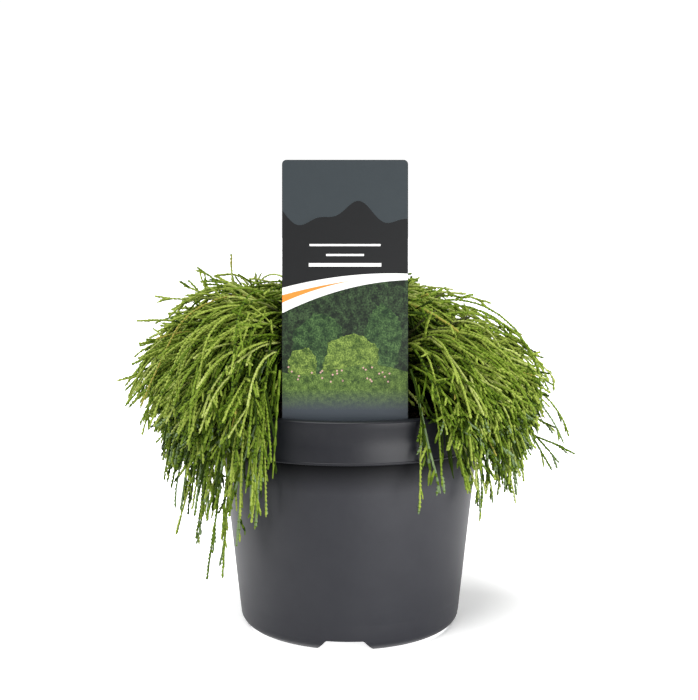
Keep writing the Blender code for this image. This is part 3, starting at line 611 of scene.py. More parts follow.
trunk_low, trunk_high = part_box("trunk")
trunk_knots = [(0, 0, trunk_low.z), (0, 0, trunk_low.z + FLARE_HEIGHT), (0.0003, 0.0003, trunk_high.z)]
trunk = limb_mesh("trunk_bark", trunk_knots, (TRUNK_FOOT_RADIUS, TRUNK_RADIUS, TRUNK_TOP_RADIUS))
add_piece("trunk_bark", trunk, [bark], "trunk", "trunk")
for name, heading in headings.items():
    start_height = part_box("bough_" + name)[0].z + BOUGH_RADIUS
    outwards = round_about(heading)
    start = outwards * (TRUNK_RADIUS + 0.0001) + Vector((0, 0, start_height))
    elbow = start + outwards * BOUGH_RADIUS
    tip = outwards * BOUGH_TIP_REACH + Vector((0, 0, BOUGH_TIP_HEIGHT))
    knots = (start, elbow, elbow.lerp(tip, 0.5), tip)
    radii = (BOUGH_RADIUS, BOUGH_ELBOW_RADIUS, BOUGH_MIDDLE_RADIUS, BOUGH_TIP_RADIUS)
    add_piece("bark_" + name, limb_mesh("bark_" + name, knots, radii), [bark], "boughs", "bough_" + name)
leader_low, leader_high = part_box("bough_top")
leader_tip = (0.0003, 0.0003, leader_high.z + 0.003)
leader_bend = (0.0009, 0.0007, (leader_low.z + leader_high.z) / 2)
leader_knots = [(0.0003, 0.0003, leader_low.z), leader_bend, leader_tip]
leader_radii = (BOUGH_RADIUS, BOUGH_MIDDLE_RADIUS, BOUGH_TIP_RADIUS)
leader = limb_mesh("bark_leader", leader_knots, leader_radii)
add_piece("bark_leader", leader, [bark], "boughs", "bough_top")


# Foliage
# Whip-like threads clad in small scale leaves. They grow from woody twigs that fan out
# from each bough's tip, arch outwards under their own weight and fork at the ends.
# Each mass is one joined mesh, and each thread has one of seven plain greens, lighter at the crown's surface
# as painted sunlight and darker inside it as painted shade.
STEP, MOST_STEPS, LEAST_STEPS = 0.0013, 136, 5
STEEPEST = math.radians(-86.0)
STEEPNESS = (math.radians(-81.0), math.radians(-50.0))
RESTING_PITCH, MOST_RESTING = -0.10, 12
THREAD_CLEARANCE = 0.0009
SWAY = 0.015
# Each mass: how much higher it is than the rest, its outward shift, the height of its
# lowest tips, its share of loose, curled shoots, its share of threads that hang, and how
# far its threads swing round the pot, away from the label
MASSES = {
    "front_right": (-0.001, -0.004, 0.068, 0.4, 0.19, 0.3),
    "right": (0, -0.005, 0.064, 0.3, 0.3, 0),
    "rear_right": (0, -0.005, 0.045, 0.6, 0.22, 0),
    "back_right": (-0.002, -0.002, 0.045, 0.5, 0.22, 0),
    "back_left": (0.005, -0.002, 0.045, 0.7, 0.22, 0),
    "rear_left": (0.013, -0.001, 0.052, 1, 0.2, 0),
    "left": (0.014, 0.002, 0.042, 1.2, 0.24, 0),
    "front_left": (0.012, 0, 0.04, 0.8, 0.4, 0.14),
    "behind_label": (0, 0, 0.14, 0.5, 0, 0),
    "top": (0.003, 0, 0.19, 1, 0, 0),
}
# A mass that stands higher has steeper, longer twigs and threads that set out steeper. It
# has its full lift from a distance from the axis on, and a share of it at the axis.
RISE_WITH_LIFT, LENGTH_WITH_LIFT = 22.0, 12.0
FULL_LIFT, LEAST_LIFT = 0.100, 0.25
# The crown's upper outline, as heights over the ground at distances from the axis
PROFILE_REACH = (0.000, 0.060, 0.085, 0.101, 0.1286, 0.146, 0.157, 0.167, 0.174, 0.178)
PROFILE_HEIGHT = (0.237, 0.237, 0.2325, 0.2275, 0.2030, 0.175, 0.152, 0.123, 0.085, 0.000)
SHRINK, SHRINK_DROP, SHRINK_SPREAD = 0.13, 0.06, 0.7
HEM_REACH, HEM_RISE = (0.100, 0.1255, 0.134, 0.156), (0.000, 0.037, 0.090, 0.114)
HEM_SPARE = 0.036
HEM_CLUMP, HEM_CLUMPS = 0.0060, (17.0, 29.0)
# A thread that would leave the crown's outline may end there instead, on a loose mass
ENDING_SHARE, ENDING_PLACE = 0.45, 0.5
TWIGS, TOP_TWIGS, FRONT_TWIGS = 26, 26, 10
FAN_REACH, TWIG_CURL, LEAST_TWIG_DROOP = 1.05, 4.0, 4.0
TWIG_RISES, TWIG_ENDS, TWIG_LENGTHS = (-0.10, 1.55), (-0.40, 0.35), (0.032, 0.070)
# The leader's twigs are shorter and rise steeper, and so are those behind the label
TOP_RISES, TOP_ENDS, TOP_SHARE = (0.15, 1.40), (-0.50, 0.50), 0.7
FRONT_SPREAD, FRONT_RISES, FRONT_FALL, FRONT_SHARE = 1.5 * SKIRT_START, (0.7, 1.5), 0.6, 0.6
THREADS, TOP_THREADS, FRONT_THREADS, BATCH = 196, 330, 140, 400
# Where along its twig a thread starts, how its pitch changes there, the share of the
# lift that its pitch takes up, and how much it curls aside, with looseness
JOINTS, JOINT_SPREAD, PITCH_CHANGES, PITCH_SHARE = (0.15, 1.0), 0.7, (-0.20, 0.40), 0.5
LEAST_CURL, CURL_WITH_LOOSENESS, SHORTEST_THREAD = 2.0, 1.5, 0.030
THREAD_TURN, SHORT_TURN, SWING_SHARES = 0.16, 0.90, (-0.4, 1.0)
SHORT_LENGTHS, SHORT_DROOPS = (0.020, 0.062), (8.0, 24.0)
THREAD_ENDS, LEAST_DROOP, DROOP_RANGE, DROOP_SPREAD = (-1.50, -1.00), 3.0, 11.0, 1.2
# A share of the threads turns straight down its slope, and the others first carry on
TURNED_SHARE, TURNED_LESS, TURNED_PITCHES = 0.62, 0.35, (-0.65, 0.10)
HANGING_DROOPS, HANGING_ENDS = (13.0, 32.0), (0.015, 0.115)
# How often a thread is kept, by how close it comes to the crown's surface
SURFACE_KEPT, SURFACE_FADE, INSIDE_KEPT = 1.15, 0.028, 0.16
THREAD_RADIUS, THREAD_TIP_RADIUS = 0.00086, 0.00080
THICKNESSES, RELIEFS, BLUNT_TIP = (0.86, 1.14), (0.4, 1.6), 0.5
# The last is the share of leaf tips that get a painted shadow behind them
LEAF_RELIEF, LEAF_LEAN, LEAF_OFFSET, LEAF_SHADOW_SHARE = 0.23, 0.42, 0.00008, 0.60
TWIG_RADIUS, TWIG_TIP_RADIUS = 0.0014, 0.0008
# Side shoots, loose shoots and forks: how many threads bear one, where along the thread,
# the turn aside and the change of pitch in radians, then the length and the droop
SIDE_SHOOTS = (
    (0.55, (0.10, 0.50), (0.12, 0.35), (-0.12, 0.12), (0.040, 0.100), (3.0, 11.0)),
    (0.65, (0.35, 0.80), (0.15, 0.40), (-0.15, 0.14), (0.020, 0.060), (3.0, 12.0)),
)
LOOSE_SHOOTS = (0.50, (0.10, 0.60), (0.20, 1.20), (0.30, 1.20), (0.010, 0.030), (5.0, 50.0))
FORKS = (
    (0.80, (0.80, 0.95), (0.35, 0.70), (-0.25, 0.25), (0.0065, 0.0120), (0.0, 10.0)),
    (0.55, (0.50, 0.82), (0.35, 0.65), (-0.25, 0.25), (0.0070, 0.0180), (0.0, 10.0)),
)
LEADING_FORKS = (1.00, (0.45, 0.92), (0.35, 0.70), (-0.20, 0.30), (0.0065, 0.0140), (0.0, 12.0))
SHOOT_CURL, LOOSE_CURL, FORK_CURL, LEADING_CURL = 6.0, 30.0, 5.0, 8.0
# How far each kind may stand over the crown's outline and hang below its hem
LOOSE_SPARE, FORK_SPARE, LEADING_SPARE = (0.009, 0.0), (0.0, 0.014), (0.060, 0.080)
# The furthest tips: the root's distance from the axis, its height and its turn from the
# mass's heading, then the rise, the length and the droop
LEADING_THREADS = {
    "left": (
        (0.129, 0.1795, 0, -0.42, 0.033, -7), (0.12, 0.21, 0, 0.12, 0.026, 8),
        (0.1272, 0.1893, 0, -0.78, 0.045, 4), (0.1104, 0.224, 0, 0.25, 0.023, 34),
        (0.123, 0.199, 0.06, -0.1, 0.018, 6), (0.099, 0.2285, 0.05, 0.42, 0.016, 6),
        (0.0985, 0.23, 0.1, 1.45, 0.01, 5), (0.08, 0.23, 0, 1.5, 0.022, 3),
        (0.09, 0.233, 0.1, 1.2, 0.019, 60), (0.07, 0.234, -0.1, 1, 0.021, 65),
        (0.0965, 0.135, 0.44, -1.5, 0.094, 0.4), (0.096, 0.135, 0.56, -1.5, 0.09, 0),
        (0.101, 0.13, 0.28, -1.45, 0.066, 0.6), (0.106, 0.125, 0.16, -1.35, 0.062, 1),
    ),
    "front_left": (
        (0.096, 0.145, 0.05, -1.5, 0.076, 0), (0.096, 0.15, 0.2, -1.5, 0.066, 0),
        (0.09, 0.188, 0.28, -1.3, 0.076, 1.5), (0.093, 0.185, 0.33, -1.46, 0.07, 0),
        (0.0965, 0.14, -0.12, -1.5, 0.066, 0),
    ),
    "front_right": (
        (0.086, 0.185, -0.36, -0.95, 0.05, 6), (0.088, 0.18, -0.34, -1.15, 0.056, 3),
        (0.093, 0.176, -0.34, -1.4, 0.05, 1),
    ),
    "right": (
        (0.0728, 0.225, 0, 0.35, 0.021, 62), (0.0857, 0.218, 0, -0.25, 0.043, 18),
        (0.119, 0.1865, 0, -0.3, 0.03, 30), (0.118, 0.187, 0.03, 0.15, 0.014, 45),
        (0.1285, 0.1635, 0, -0.6, 0.042, 18), (0.131, 0.1548, -0.06, -0.9, 0.033, 14),
        (0.127, 0.1433, 0.05, -0.5, 0.02, 14), (0.109, 0.201, 0.04, -0.4, 0.028, 22),
        (0.13, 0.13, 0, -0.4, 0.029, -1), (0.129, 0.13, 0.05, -0.8, 0.027, 5),
        (0.127, 0.13, 0, -1.1, 0.028, 2), (0.0985, 0.13, -0.32, -1.44, 0.036, 0),
        (0.097, 0.13, -0.4, -1.46, 0.034, 0), (0.0965, 0.13, -0.47, -1.48, 0.034, 0),
    ),
    "back_left": ((0.1216, 0.1923, 0, -0.15, 0.04, 9),),
    "back_right": ((0.1216, 0.1843, 0, -0.2, 0.038, 9),),
}
# The first five greens, from sunlit to shaded, mix the threads' own varying tone with painted light and shade
GREENS = {
    "sunlit thread": (0.345, 0.400, 0.112), "bright thread": (0.255, 0.322, 0.054),
    "mid thread": (0.152, 0.222, 0.023), "deep thread": (0.076, 0.130, 0.007),
    "shaded thread": (0.018, 0.037, 0.001), "ochre thread": (0.285, 0.258, 0.048),
    "cool thread": (0.155, 0.220, 0.100),
}
# The green of the painted shadow behind a leaf's tip, one step darker, for each green
TIP_SHADOW_GREEN = np.array([1, 2, 3, 4, 4, 2, 3])
# How each zone takes its greens: three from the crown's surface inwards, darker further in as painted shade,
# then what hangs
ZONE_RANKS, RANK_NOISE = (0.34, 0.68), 0.06
HANGING_ZONE = 3
ZONE_SHARES = np.array([
    [0.28, 0.32, 0.27, 0.10, 0.01, 0.02, 0.00],
    [0.02, 0.11, 0.32, 0.42, 0.11, 0.02, 0.00],
    [0.00, 0.00, 0.08, 0.36, 0.56, 0.00, 0.00],
    [0.10, 0.18, 0.19, 0.19, 0.03, 0.00, 0.31],
])
# Only shoots of this many steps take the painted sunlit green, so that no long strand and no stub stands out
SHORTEST_SUNLIT, LONGEST_SUNLIT = 14, 60
# Threads are judged by how far they lie behind the outermost ones in their direction
CROWN_MIDDLE = np.array([0.0, 0.0, 0.140])
CELL_TURN, CELLS_ACROSS, CELL_SPREAD = math.radians(5.0), 40, 1.5
# The outermost threads are the finest: each rank's end, and how many steps make a ring
DETAIL = ((0.33, 1), (0.66, 2), (1.01, 4))


def rings_of(steps):
    """Which rings each thread has, by thread and ring."""
    return np.arange(MOST_STEPS + 1)[None] <= steps[:, None]


def directions(way, pitch):
    """Unit vectors from headings round the pot and angles over level."""
    level = np.cos(pitch)
    return np.stack([np.sin(way) * level, -np.cos(way) * level, np.sin(pitch)], axis=-1)


def lie_on_pot(ahead, before):
    """Lays points that would enter the pot on its rim or beside its band, in place."""
    reach = np.hypot(ahead[:, 0], ahead[:, 1])
    top, side = POT_HEIGHT + THREAD_CLEARANCE, RIM_RADIUS + THREAD_CLEARANCE
    inside = (reach < side) & (ahead[:, 2] < top)
    lying = inside & (before[:, 2] > top - 0.0001)
    beside = inside & ~lying
    ahead[lying, 2] = top
    ahead[beside, :2] *= (side / reach[beside])[:, None]
    return lying


def grow(root, way, pitch, length, droop, curl, draw, sway=SWAY):
    """Threads as an array by thread and ring, the steps of each, and how long each lies."""
    count = len(root)
    steps = np.clip((length / STEP).astype(int), LEAST_STEPS, MOST_STEPS)
    points = np.repeat(root[:, None], MOST_STEPS + 1, axis=1)
    rests = np.zeros(count, int)
    steepest = draw.uniform(*STEEPNESS, count)
    for ring in range(1, steps.max() + 1):
        going = ring <= steps
        ahead = points[:, ring - 1] + directions(way, pitch) * STEP
        lying = lie_on_pot(ahead, points[:, ring - 1])
        rests += lying & going
        points[:, ring] = np.where(going[:, None], ahead, points[:, ring - 1])
        pitch = np.maximum(pitch - droop * STEP, np.minimum(pitch, steepest)) + draw.normal(0.0, sway, count)
        pitch = np.maximum(pitch, STEEPEST)
        pitch = np.where(lying, np.maximum(pitch, RESTING_PITCH), pitch)
        way = way + curl * STEP + draw.normal(0.0, sway, count)
    points[:, steps.max() + 1:] = points[:, steps.max()][:, None]
    return points, steps, rests


def depths(points, mass, shrink=0.0):
    """How deep points lie inside the crown's outline, which may be drawn in a little."""
    reach = (np.hypot(points[..., 0], points[..., 1]) - mass[1]) / (1.0 - shrink)
    height = points[..., 2] - mass[0] * np.clip(reach / FULL_LIFT, LEAST_LIFT, 1.0)
    below = np.interp(reach, PROFILE_REACH, PROFILE_HEIGHT) - height
    within = np.interp(height, PROFILE_HEIGHT[::-1], PROFILE_REACH[::-1]) - reach
    return below, np.minimum(below, within)


def fitted(points, steps, rests, mass, draw, spare=(0.0, 0.0)):
    """Ends threads at the crown's lower edge and drops those that leave it or cross the label.
    Both edges have a spare distance, up and down."""
    count = len(points)
    x, y, z = points[..., 0], points[..., 1], points[..., 2]
    shrink = SHRINK * (1.0 - draw.random((count, 1)) ** SHRINK_SPREAD)
    over = depths(points, mass, shrink)[0] + spare[0] < SHRINK_DROP * shrink
    first = np.where(over.any(axis=1), over.argmax(axis=1), MOST_STEPS + 1)
    ends = (draw.random(count) < ENDING_SHARE * mass[3]) & (first > ENDING_PLACE * steps)
    steps = np.where(ends, np.minimum(steps, first - 1), steps)
    face = LABEL_RIM_Y + (z - POT_HEIGHT) * math.tan(LABEL_LEAN)
    beside = np.abs(x - LABEL_SHIFT) < LABEL_HALF + 2 * THREAD_CLEARANCE
    on_label = beside & (y < face + 3 * THREAD_CLEARANCE) & (z < label_high.z)
    low = mass[2] + np.interp(np.hypot(x, y), HEM_REACH, HEM_RISE)
    low = low + HEM_CLUMP * sum(np.sin(clumps * np.arctan2(x, -y)) for clumps in HEM_CLUMPS)
    low = z + spare[1] < low + HEM_SPARE * draw.random((count, 1))
    steps = np.minimum(steps, np.where(low.any(axis=1), low.argmax(axis=1) - 1, MOST_STEPS))
    used = rings_of(steps)
    crossed = ((on_label | over) & used).any(axis=1)
    good = ~crossed & (steps >= LEAST_STEPS) & (rests <= MOST_RESTING)
    return points[good], steps[good], good


def run_at(points, joint, chosen):
    """The place, the heading and the pitch of chosen threads at a joint."""
    root = points[chosen, joint]
    run = root - points[chosen, joint - 1]
    return root, np.arctan2(run[:, 0], -run[:, 1]), np.arctan2(run[:, 2], np.hypot(run[:, 0], run[:, 1]))


def branches(points, steps, kind, curls, mass, draw, spare=(0.0, 0.0), share=1.0):
    """Side shoots that leave some threads at an angle, one way or the other."""
    chance, shares, turns, rises, lengths, droops = kind
    chosen = np.flatnonzero(draw.random(len(points)) < chance * share)
    count = len(chosen)
    joint = (steps[chosen] * draw.uniform(*shares, count)).astype(int).clip(1, None)
    root, way, pitch = run_at(points, joint, chosen)
    aside = draw.choice([-1.0, 1.0], count) * draw.uniform(*turns, count)
    way = way + aside / np.maximum(np.cos(pitch), 0.30)
    pitch = np.maximum(pitch + draw.uniform(*rises, count), STEEPEST)
    droop, curl = draw.uniform(*droops, count), draw.uniform(-curls, curls, count)
    grown = grow(root, way, pitch, draw.uniform(*lengths, count), droop, curl, draw)
    return fitted(*grown, mass, draw, spare)[:2]


def twig_fan(name, heading, mass, draw):
    """The woody twigs that fan out from a bough's tip, or from the leader's."""
    count = {"top": TOP_TWIGS, "behind_label": FRONT_TWIGS}.get(name, TWIGS)
    length = draw.uniform(*TWIG_LENGTHS, count) * (1.0 + LENGTH_WITH_LIFT * mass[0])
    if name == "top":
        root = np.tile(np.array(leader_tip), (count, 1))
        way = draw.uniform(-math.pi, math.pi, count)
        rise, end = draw.uniform(*TOP_RISES, count), draw.uniform(*TOP_ENDS, count)
        length = length * TOP_SHARE
    else:
        front = name == "behind_label"
        root = np.tile(np.array(round_about(heading) * BOUGH_TIP_REACH), (count, 1))
        root[:, 2] = BOUGH_TIP_HEIGHT
        spread = FRONT_SPREAD if front else SECTOR / 2
        way = heading + spread * np.linspace(-FAN_REACH, FAN_REACH, count)[draw.permutation(count)]
        rise = draw.uniform(*FRONT_RISES, count) if front else draw.uniform(*TWIG_RISES, count)
        rise = np.minimum(rise + RISE_WITH_LIFT * mass[0], TWIG_RISES[1])
        end = rise - FRONT_FALL if front else draw.uniform(*TWIG_ENDS, count)
        length = length * FRONT_SHARE if front else length
    droop = np.maximum((rise - end) / length, LEAST_TWIG_DROOP)
    grown = grow(root, way, rise, length, droop, draw.uniform(-TWIG_CURL, TWIG_CURL, count), draw)
    return fitted(*grown, mass, draw)[:2]


def threads_of(name, twigs, twig_steps, count, mass, draw):
    """The long threads of a mass, which carry on from its twigs and then arch or hang."""
    short = name in ("behind_label", "top")
    kept, kept_steps, total, batch = [], [], 0, BATCH
    while total < count:
        chosen = draw.integers(0, len(twigs), batch)
        along = draw.uniform(*JOINTS, batch) ** JOINT_SPREAD
        joint = (twig_steps[chosen] * along).astype(int).clip(1, None)
        root, way, pitch = run_at(twigs, joint, chosen)
        way = way + draw.normal(0.0, SHORT_TURN if short else THREAD_TURN, batch)
        way = way + mass[5] * draw.uniform(*SWING_SHARES, batch)
        pitch = pitch + draw.uniform(*PITCH_CHANGES, batch) + PITCH_SHARE * RISE_WITH_LIFT * mass[0]
        turned = draw.random(batch) < TURNED_SHARE - TURNED_LESS * mass[3]
        pitch = np.where(turned, np.minimum(pitch, draw.uniform(*TURNED_PITCHES, batch)), pitch)
        hangs = draw.random(batch) < mass[4]
        droop = LEAST_DROOP + DROOP_RANGE * draw.random(batch) ** DROOP_SPREAD
        length = (pitch - draw.uniform(*THREAD_ENDS, batch)) / droop
        droop = np.where(hangs, draw.uniform(*HANGING_DROOPS, batch), droop)
        hanging = (pitch - STEEPEST) / droop + draw.uniform(*HANGING_ENDS, batch)
        length = np.where(hangs, hanging, length).clip(SHORTEST_THREAD, MOST_STEPS * STEP)
        if short:
            length, droop = draw.uniform(*SHORT_LENGTHS, batch), draw.uniform(*SHORT_DROOPS, batch)
        curls = LEAST_CURL + CURL_WITH_LOOSENESS * mass[3]
        grown = grow(root, way, pitch, length, droop, draw.uniform(-curls, curls, batch), draw)
        points, steps, good = fitted(*grown, mass, draw)
        used = rings_of(steps)
        gap = np.where(used, depths(points, mass)[1], 1.0).min(axis=1)
        chance = np.clip(SURFACE_KEPT - gap / SURFACE_FADE, INSIDE_KEPT, 1.0)
        near = (draw.random(len(gap)) < chance) | hangs[good]
        kept.append(points[near])
        kept_steps.append(steps[near])
        total += int(near.sum())
    return np.concatenate(kept)[:count], np.concatenate(kept_steps)[:count]


def cover_depths(points, steps):
    """How far each thread lies behind the outermost ones, as seen from the crown's middle."""
    used = rings_of(steps)
    spots = points - CROWN_MIDDLE
    distance = np.linalg.norm(spots, axis=2)
    turn = np.floor((np.arctan2(spots[..., 0], -spots[..., 1]) + math.pi) / CELL_TURN)
    rise = np.floor((np.arcsin(spots[..., 2] / distance) + math.pi / 2) / CELL_TURN)
    cell = (turn * CELLS_ACROSS + rise).astype(int)
    held = np.bincount(cell[used], minlength=cell.max() + 1).clip(1, None)
    mean = np.bincount(cell[used], distance[used], len(held)) / held
    squares = np.bincount(cell[used], distance[used] ** 2, len(held)) / held
    spread = np.sqrt((squares - mean ** 2).clip(0.0, None))
    depth = (mean + CELL_SPREAD * spread)[cell] - distance
    rows = np.arange(len(points))
    places = np.stack([depth[rows, steps * part // 4] for part in (2, 3, 4)])
    return places.min(axis=0), places.mean(axis=0)


def ranks(values):
    """The place of each value among the others, from 0 to 1."""
    return np.argsort(np.argsort(values)) / len(values)


def zones_of(points, steps, depth, draw):
    """The zone of each thread, by its depth and by whether it hangs below the rim."""
    zone = np.digitize(ranks(depth) + draw.normal(0.0, RANK_NOISE, len(depth)), ZONE_RANKS)
    height = points[np.arange(len(points)), steps * 2 // 3, 2]
    return np.where((height < POT_HEIGHT) & (zone < HANGING_ZONE - 1), HANGING_ZONE, zone)


def tubes(points, steps, materials, radii, relief, draw, stride=1):
    """Three-sided threads. Each ring is turned by a sixth against the last. Every other one
    is wider and leans forward, like the tips of scale leaves, with a darker step behind it, a painted shadow.
    Returns points, faces and each face's material."""
    steps = np.maximum(steps // stride, 2)
    points = points[:, ::stride]
    count, rings = points.shape[:2]
    index = np.arange(rings)[None]
    used = index <= steps[:, None]
    run = np.diff(points, axis=1, append=points[:, -1:])
    last = run[np.arange(count), steps - 1]
    run = np.where((index < steps[:, None])[..., None], run, last[:, None])
    run /= np.linalg.norm(run, axis=2, keepdims=True) + 1e-12
    side = np.cross(run, np.array([0.0, 0.0, 1.0]))
    side /= np.linalg.norm(side, axis=2, keepdims=True) + 1e-9
    other = np.cross(run, side)
    along = np.clip(index / steps[:, None], 0.0, 1.0)
    wide = index % 2 * (index < steps[:, None])
    size = draw.uniform(*THICKNESSES, (count, 1)) * (radii[0] + (radii[1] - radii[0]) * along)
    swell = relief * (wide * 2 - 1) * draw.uniform(*RELIEFS, wide.shape)
    size = size * np.where(index >= steps[:, None], BLUNT_TIP, 1.0 + swell)
    if relief and stride == 1:
        points = points + run * (wide * LEAF_LEAN * STEP)[..., None]
        inner = (index > 0) & (index < steps[:, None])
        points = points + draw.normal(0.0, LEAF_OFFSET, points.shape) * inner[..., None]
    turns = [(index * math.tau / 6 + corner * math.tau / 3)[..., None] for corner in range(3)]
    corners = [points + (side * np.cos(turn) + other * np.sin(turn)) * size[..., None] for turn in turns]
    corners = np.stack(corners, axis=2)
    number = np.cumsum(used.ravel()).reshape(used.shape) - 1
    joined = used[:, :-1] & used[:, 1:]
    first = number[:, :-1][joined] * 3
    faces = []
    for corner in range(3):
        here, beyond = first + corner, first + (corner + 1) % 3
        faces.append(np.stack([here, beyond, here + 3], axis=-1))
        faces.append(np.stack([here + 3, beyond, beyond + 3], axis=-1))
    leaves = np.broadcast_to(materials[:, None], joined.shape)
    if relief:
        # Painted shadow: a darker green on the face behind many leaf tips
        tip_shadow = (index[:, :-1] % 2 == 1) & (draw.random(leaves.shape) < LEAF_SHADOW_SHARE)
        leaves = np.where(tip_shadow, TIP_SHADOW_GREEN[leaves], leaves)
    of_faces = np.tile(leaves[joined], 6)
    starts, ends = number[:, :1] * 3, number[np.arange(count), steps][:, None] * 3
    faces = np.concatenate(faces + [starts + np.array([0, 2, 1]), ends + np.array([0, 1, 2])])
    return corners[used].reshape(-1, 3), faces, np.concatenate([of_faces, materials, materials])


def joined_mesh(name, parts):
    """Several sets of tubes as one mesh."""
    offsets = np.cumsum([0] + [len(points) for points, _, _ in parts[:-1]])
    points = np.concatenate([part[0] for part in parts])
    faces = np.concatenate([part[1] + offset for part, offset in zip(parts, offsets)])
    return mesh_from_arrays(name, points, faces, np.concatenate([part[2] for part in parts]))


greens = [new_material(name, colour, 0.60, 0.09)[0] for name, colour in GREENS.items()]
twig_bark, tree, shader = new_material("young bark", (0.110, 0.085, 0.035), 0.80, 0.2)
mottle(tree, shader, 300.0, (0.35, 0.68), (0.030, 0.032, 0.010), (0.072, 0.086, 0.022))

twig_parts = []
for number, (name, mass) in enumerate(MASSES.items()):
    draw = np.random.default_rng(100 + number)
    heading = headings.get(name, 0.0)
    twigs, twig_steps = twig_fan(name, heading, mass, draw)
    woody = np.zeros(len(twigs), int)
    twig_parts.append(tubes(twigs, twig_steps, woody, (TWIG_RADIUS, TWIG_TIP_RADIUS), 0.0, draw, 2))
    count = {"behind_label": FRONT_THREADS, "top": TOP_THREADS}.get(name, THREADS)
    sets = [threads_of(name, twigs, twig_steps, count, mass, draw)]
    leading = []
    if name in LEADING_THREADS:
        reach, height, aside, rise, length, droop = np.array(LEADING_THREADS[name]).T
        way = heading + aside
        root = np.stack([reach * np.sin(way), -reach * np.cos(way), height], axis=-1)
        leading = grow(root, way, rise, length, droop, np.zeros(len(way)), draw)[:2]
        sets.append(leading)
    grown = tuple(np.concatenate(part) for part in zip(*sets))
    for kind in SIDE_SHOOTS:
        sets.append(branches(*grown, kind, SHOOT_CURL, mass, draw))
    sets.append(branches(*grown, LOOSE_SHOOTS, LOOSE_CURL, mass, draw, LOOSE_SPARE, mass[3]))
    grown = tuple(np.concatenate(part) for part in zip(*sets))
    for kind in FORKS:
        sets.append(branches(*grown, kind, FORK_CURL, mass, draw, FORK_SPARE))
    if leading:
        sets += [branches(*leading, LEADING_FORKS, LEADING_CURL, mass, draw, LEADING_SPARE) for _ in range(2)]
    points = np.concatenate([part[0] for part in sets])
    steps = np.concatenate([part[1] for part in sets])
    nearest, depth = cover_depths(points, steps)
    # Painted shade: threads that lie deep behind the outermost ones take darker greens
    shares = np.cumsum(ZONE_SHARES, axis=1)[zones_of(points, steps, depth, draw)]
    tone = (draw.random((len(points), 1)) > shares).sum(axis=1).clip(0, len(GREENS) - 1)
    never_sunlit = (steps < SHORTEST_SUNLIT) | (steps > LONGEST_SUNLIT)
    tone = np.where(never_sunlit, tone.clip(1, None), tone)
    parts, begun = [], -1.0
    for ended, stride in DETAIL:
        here = (ranks(nearest) > begun) & (ranks(nearest) <= ended)
        radii = (THREAD_RADIUS, THREAD_TIP_RADIUS)
        parts.append(tubes(points[here], steps[here], tone[here], radii, LEAF_RELIEF, draw, stride))
        begun = ended
    mesh = joined_mesh("threads_" + name, parts)
    add_piece("threads_" + name, mesh, greens, "foliage", "foliage_" + name)
add_piece("woody_twigs", joined_mesh("woody_twigs", twig_parts), [twig_bark], "foliage")


# Floor, light and camera
# A plain pale floor under a white sky, with a soft light above and soft boxes at the
# sides. The camera stands where the photograph's perspective puts it.
FLOOR_SIZE = 60.0
AMBIENT, BACKDROP = 0.57, 1.05
FLOOR_GLOW, FLOOR_SHADE = (0.05, 0.00), (0.80, 1.36)
# Painted light that shows in the notches, where the floor glows in a round patch under the pot: its strength,
# and the patch's radii and middle
PAINTED_GLOW, PAINTED_GLOW_RADII, PAINTED_GLOW_MIDDLE = 0.85, (0.0716, 0.0700), (0.0, -0.0055, 0.0)
CAMERA_DISTANCE, CAMERA_HEIGHT, CAMERA_SIDE = 0.80, 0.2739, -0.0005
CAMERA_PITCH = 0.1057
PHOTO_SIDE, FOCAL_PIXELS = 700.0, 1158.0

shape = bmesh.new()
bmesh.ops.create_grid(shape, x_segments=1, y_segments=1, size=FLOOR_SIZE / 2)
paper, tree, shader = new_material("pale floor", (0.60, 0.60, 0.60), 0.9, 0.0)
shader.inputs["Emission Color"].default_value = (1.0, 1.0, 1.0, 1.0)
seen, place = add_node(tree, "LightPath"), add_node(tree, "TexCoord")
shade = add_node(tree, "MapRange", [("To Min", FLOOR_SHADE[0]), ("To Max", FLOOR_SHADE[1])])
faint = add_node(tree, "MapRange", [("To Min", FLOOR_GLOW[0]), ("To Max", FLOOR_GLOW[1])])
from_middle = add_node(tree, "VectorMath", [(1, PAINTED_GLOW_MIDDLE)])
from_middle.operation = "DISTANCE"
outer, inner = PAINTED_GLOW_RADII
# Painted light: the floor glows in a round patch under the pot, which brightens the notches
under_pot = add_node(tree, "MapRange", [("From Min", outer), ("From Max", inner), ("To Max", PAINTED_GLOW)])
glow = add_node(tree, "Math")
glow.operation = "ADD"
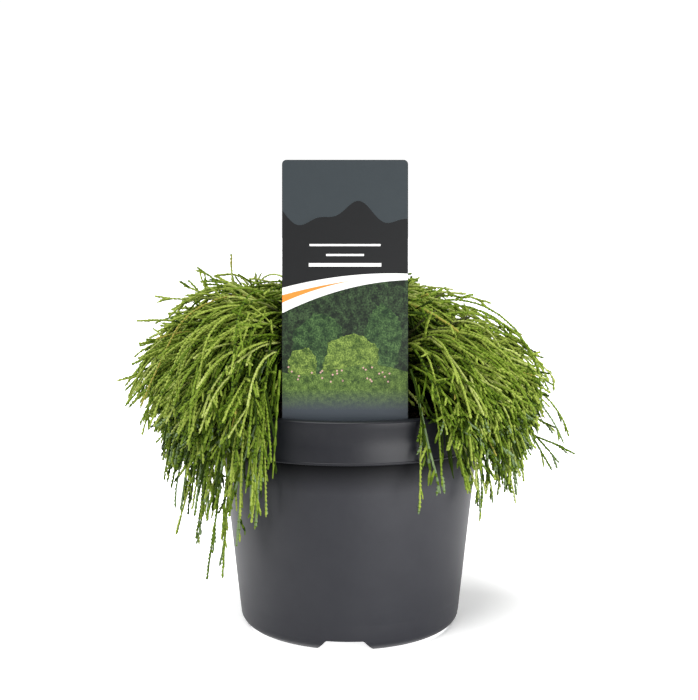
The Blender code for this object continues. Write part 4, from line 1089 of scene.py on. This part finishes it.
wire(
    tree, (seen, "Is Camera Ray", shade, "Value"), (shade, "Result", shader, "Base Color"),
    (seen, "Is Camera Ray", faint, "Value"), (place, "Object", from_middle, 0),
    (from_middle, "Value", under_pot, "Value"), (faint, "Result", glow, 0),
    (under_pot, "Result", glow, 1), (glow, "Value", shader, "Emission Strength"),
)
floor_mesh = mesh_from(shape, "floor")
floor_mesh.materials.append(paper)
place_object("floor", floor_mesh)

world = bpy.data.worlds.new("white studio")
scene.world = world
world.use_nodes = True
tree = world.node_tree
ambient = tree.nodes["Background"]
ambient.inputs["Color"].default_value = (1.0, 1.0, 1.0, 1.0)
ambient.inputs["Strength"].default_value = AMBIENT
backdrop = add_node(tree, "Background", [("Color", (1.0, 1.0, 1.0, 1.0)), ("Strength", BACKDROP)])
seen, either = add_node(tree, "LightPath"), add_node(tree, "MixShader")
wire(
    tree, (seen, "Is Camera Ray", either, "Fac"), (ambient, "Background", either, 1),
    (backdrop, "Background", either, 2), (either, "Shader", tree.nodes["World Output"], "Surface"),
)


def add_lamp(name, kind, place, target, power):
    """A lamp that faces a target."""
    light = bpy.data.lights.new(name, kind)
    light.energy = power
    lamp = place_object(name, light)
    lamp.location = place
    lamp.rotation_euler = (Vector(target) - Vector(place)).to_track_quat("-Z", "Y").to_euler()
    return light


sky = add_lamp("overhead light", "SUN", (-0.25, -0.35, 1.35), (0, 0, 0.15), 2.90)
sky.angle = math.radians(50.0)
for name, place, width, height, power in (
    ("left box", (-1.1, 0.25, 0.35), 0.5, 0.7, 9.0),
    ("front right box", (0.74, -1.00, 0.20), 1.0, 0.4, 10.5),
    ("right box", (1.15, -0.15, 0.10), 0.5, 0.7, 7.0),
):
    box = add_lamp(name, "AREA", place, (0, 0, 0.12), power)
    box.shape = "RECTANGLE"
    box.size, box.size_y = width, height

camera_data = bpy.data.cameras.new("camera")
camera_data.sensor_width = 36.0
camera_data.lens = FOCAL_PIXELS * camera_data.sensor_width / PHOTO_SIDE
camera_data.clip_start = 0.01
camera = place_object("camera", camera_data)
camera.location = (CAMERA_SIDE, -CAMERA_DISTANCE, CAMERA_HEIGHT)
camera.rotation_euler = (math.pi / 2 - CAMERA_PITCH, 0.0, 0.0)
scene.camera = camera
scene.view_settings.view_transform = "Standard"
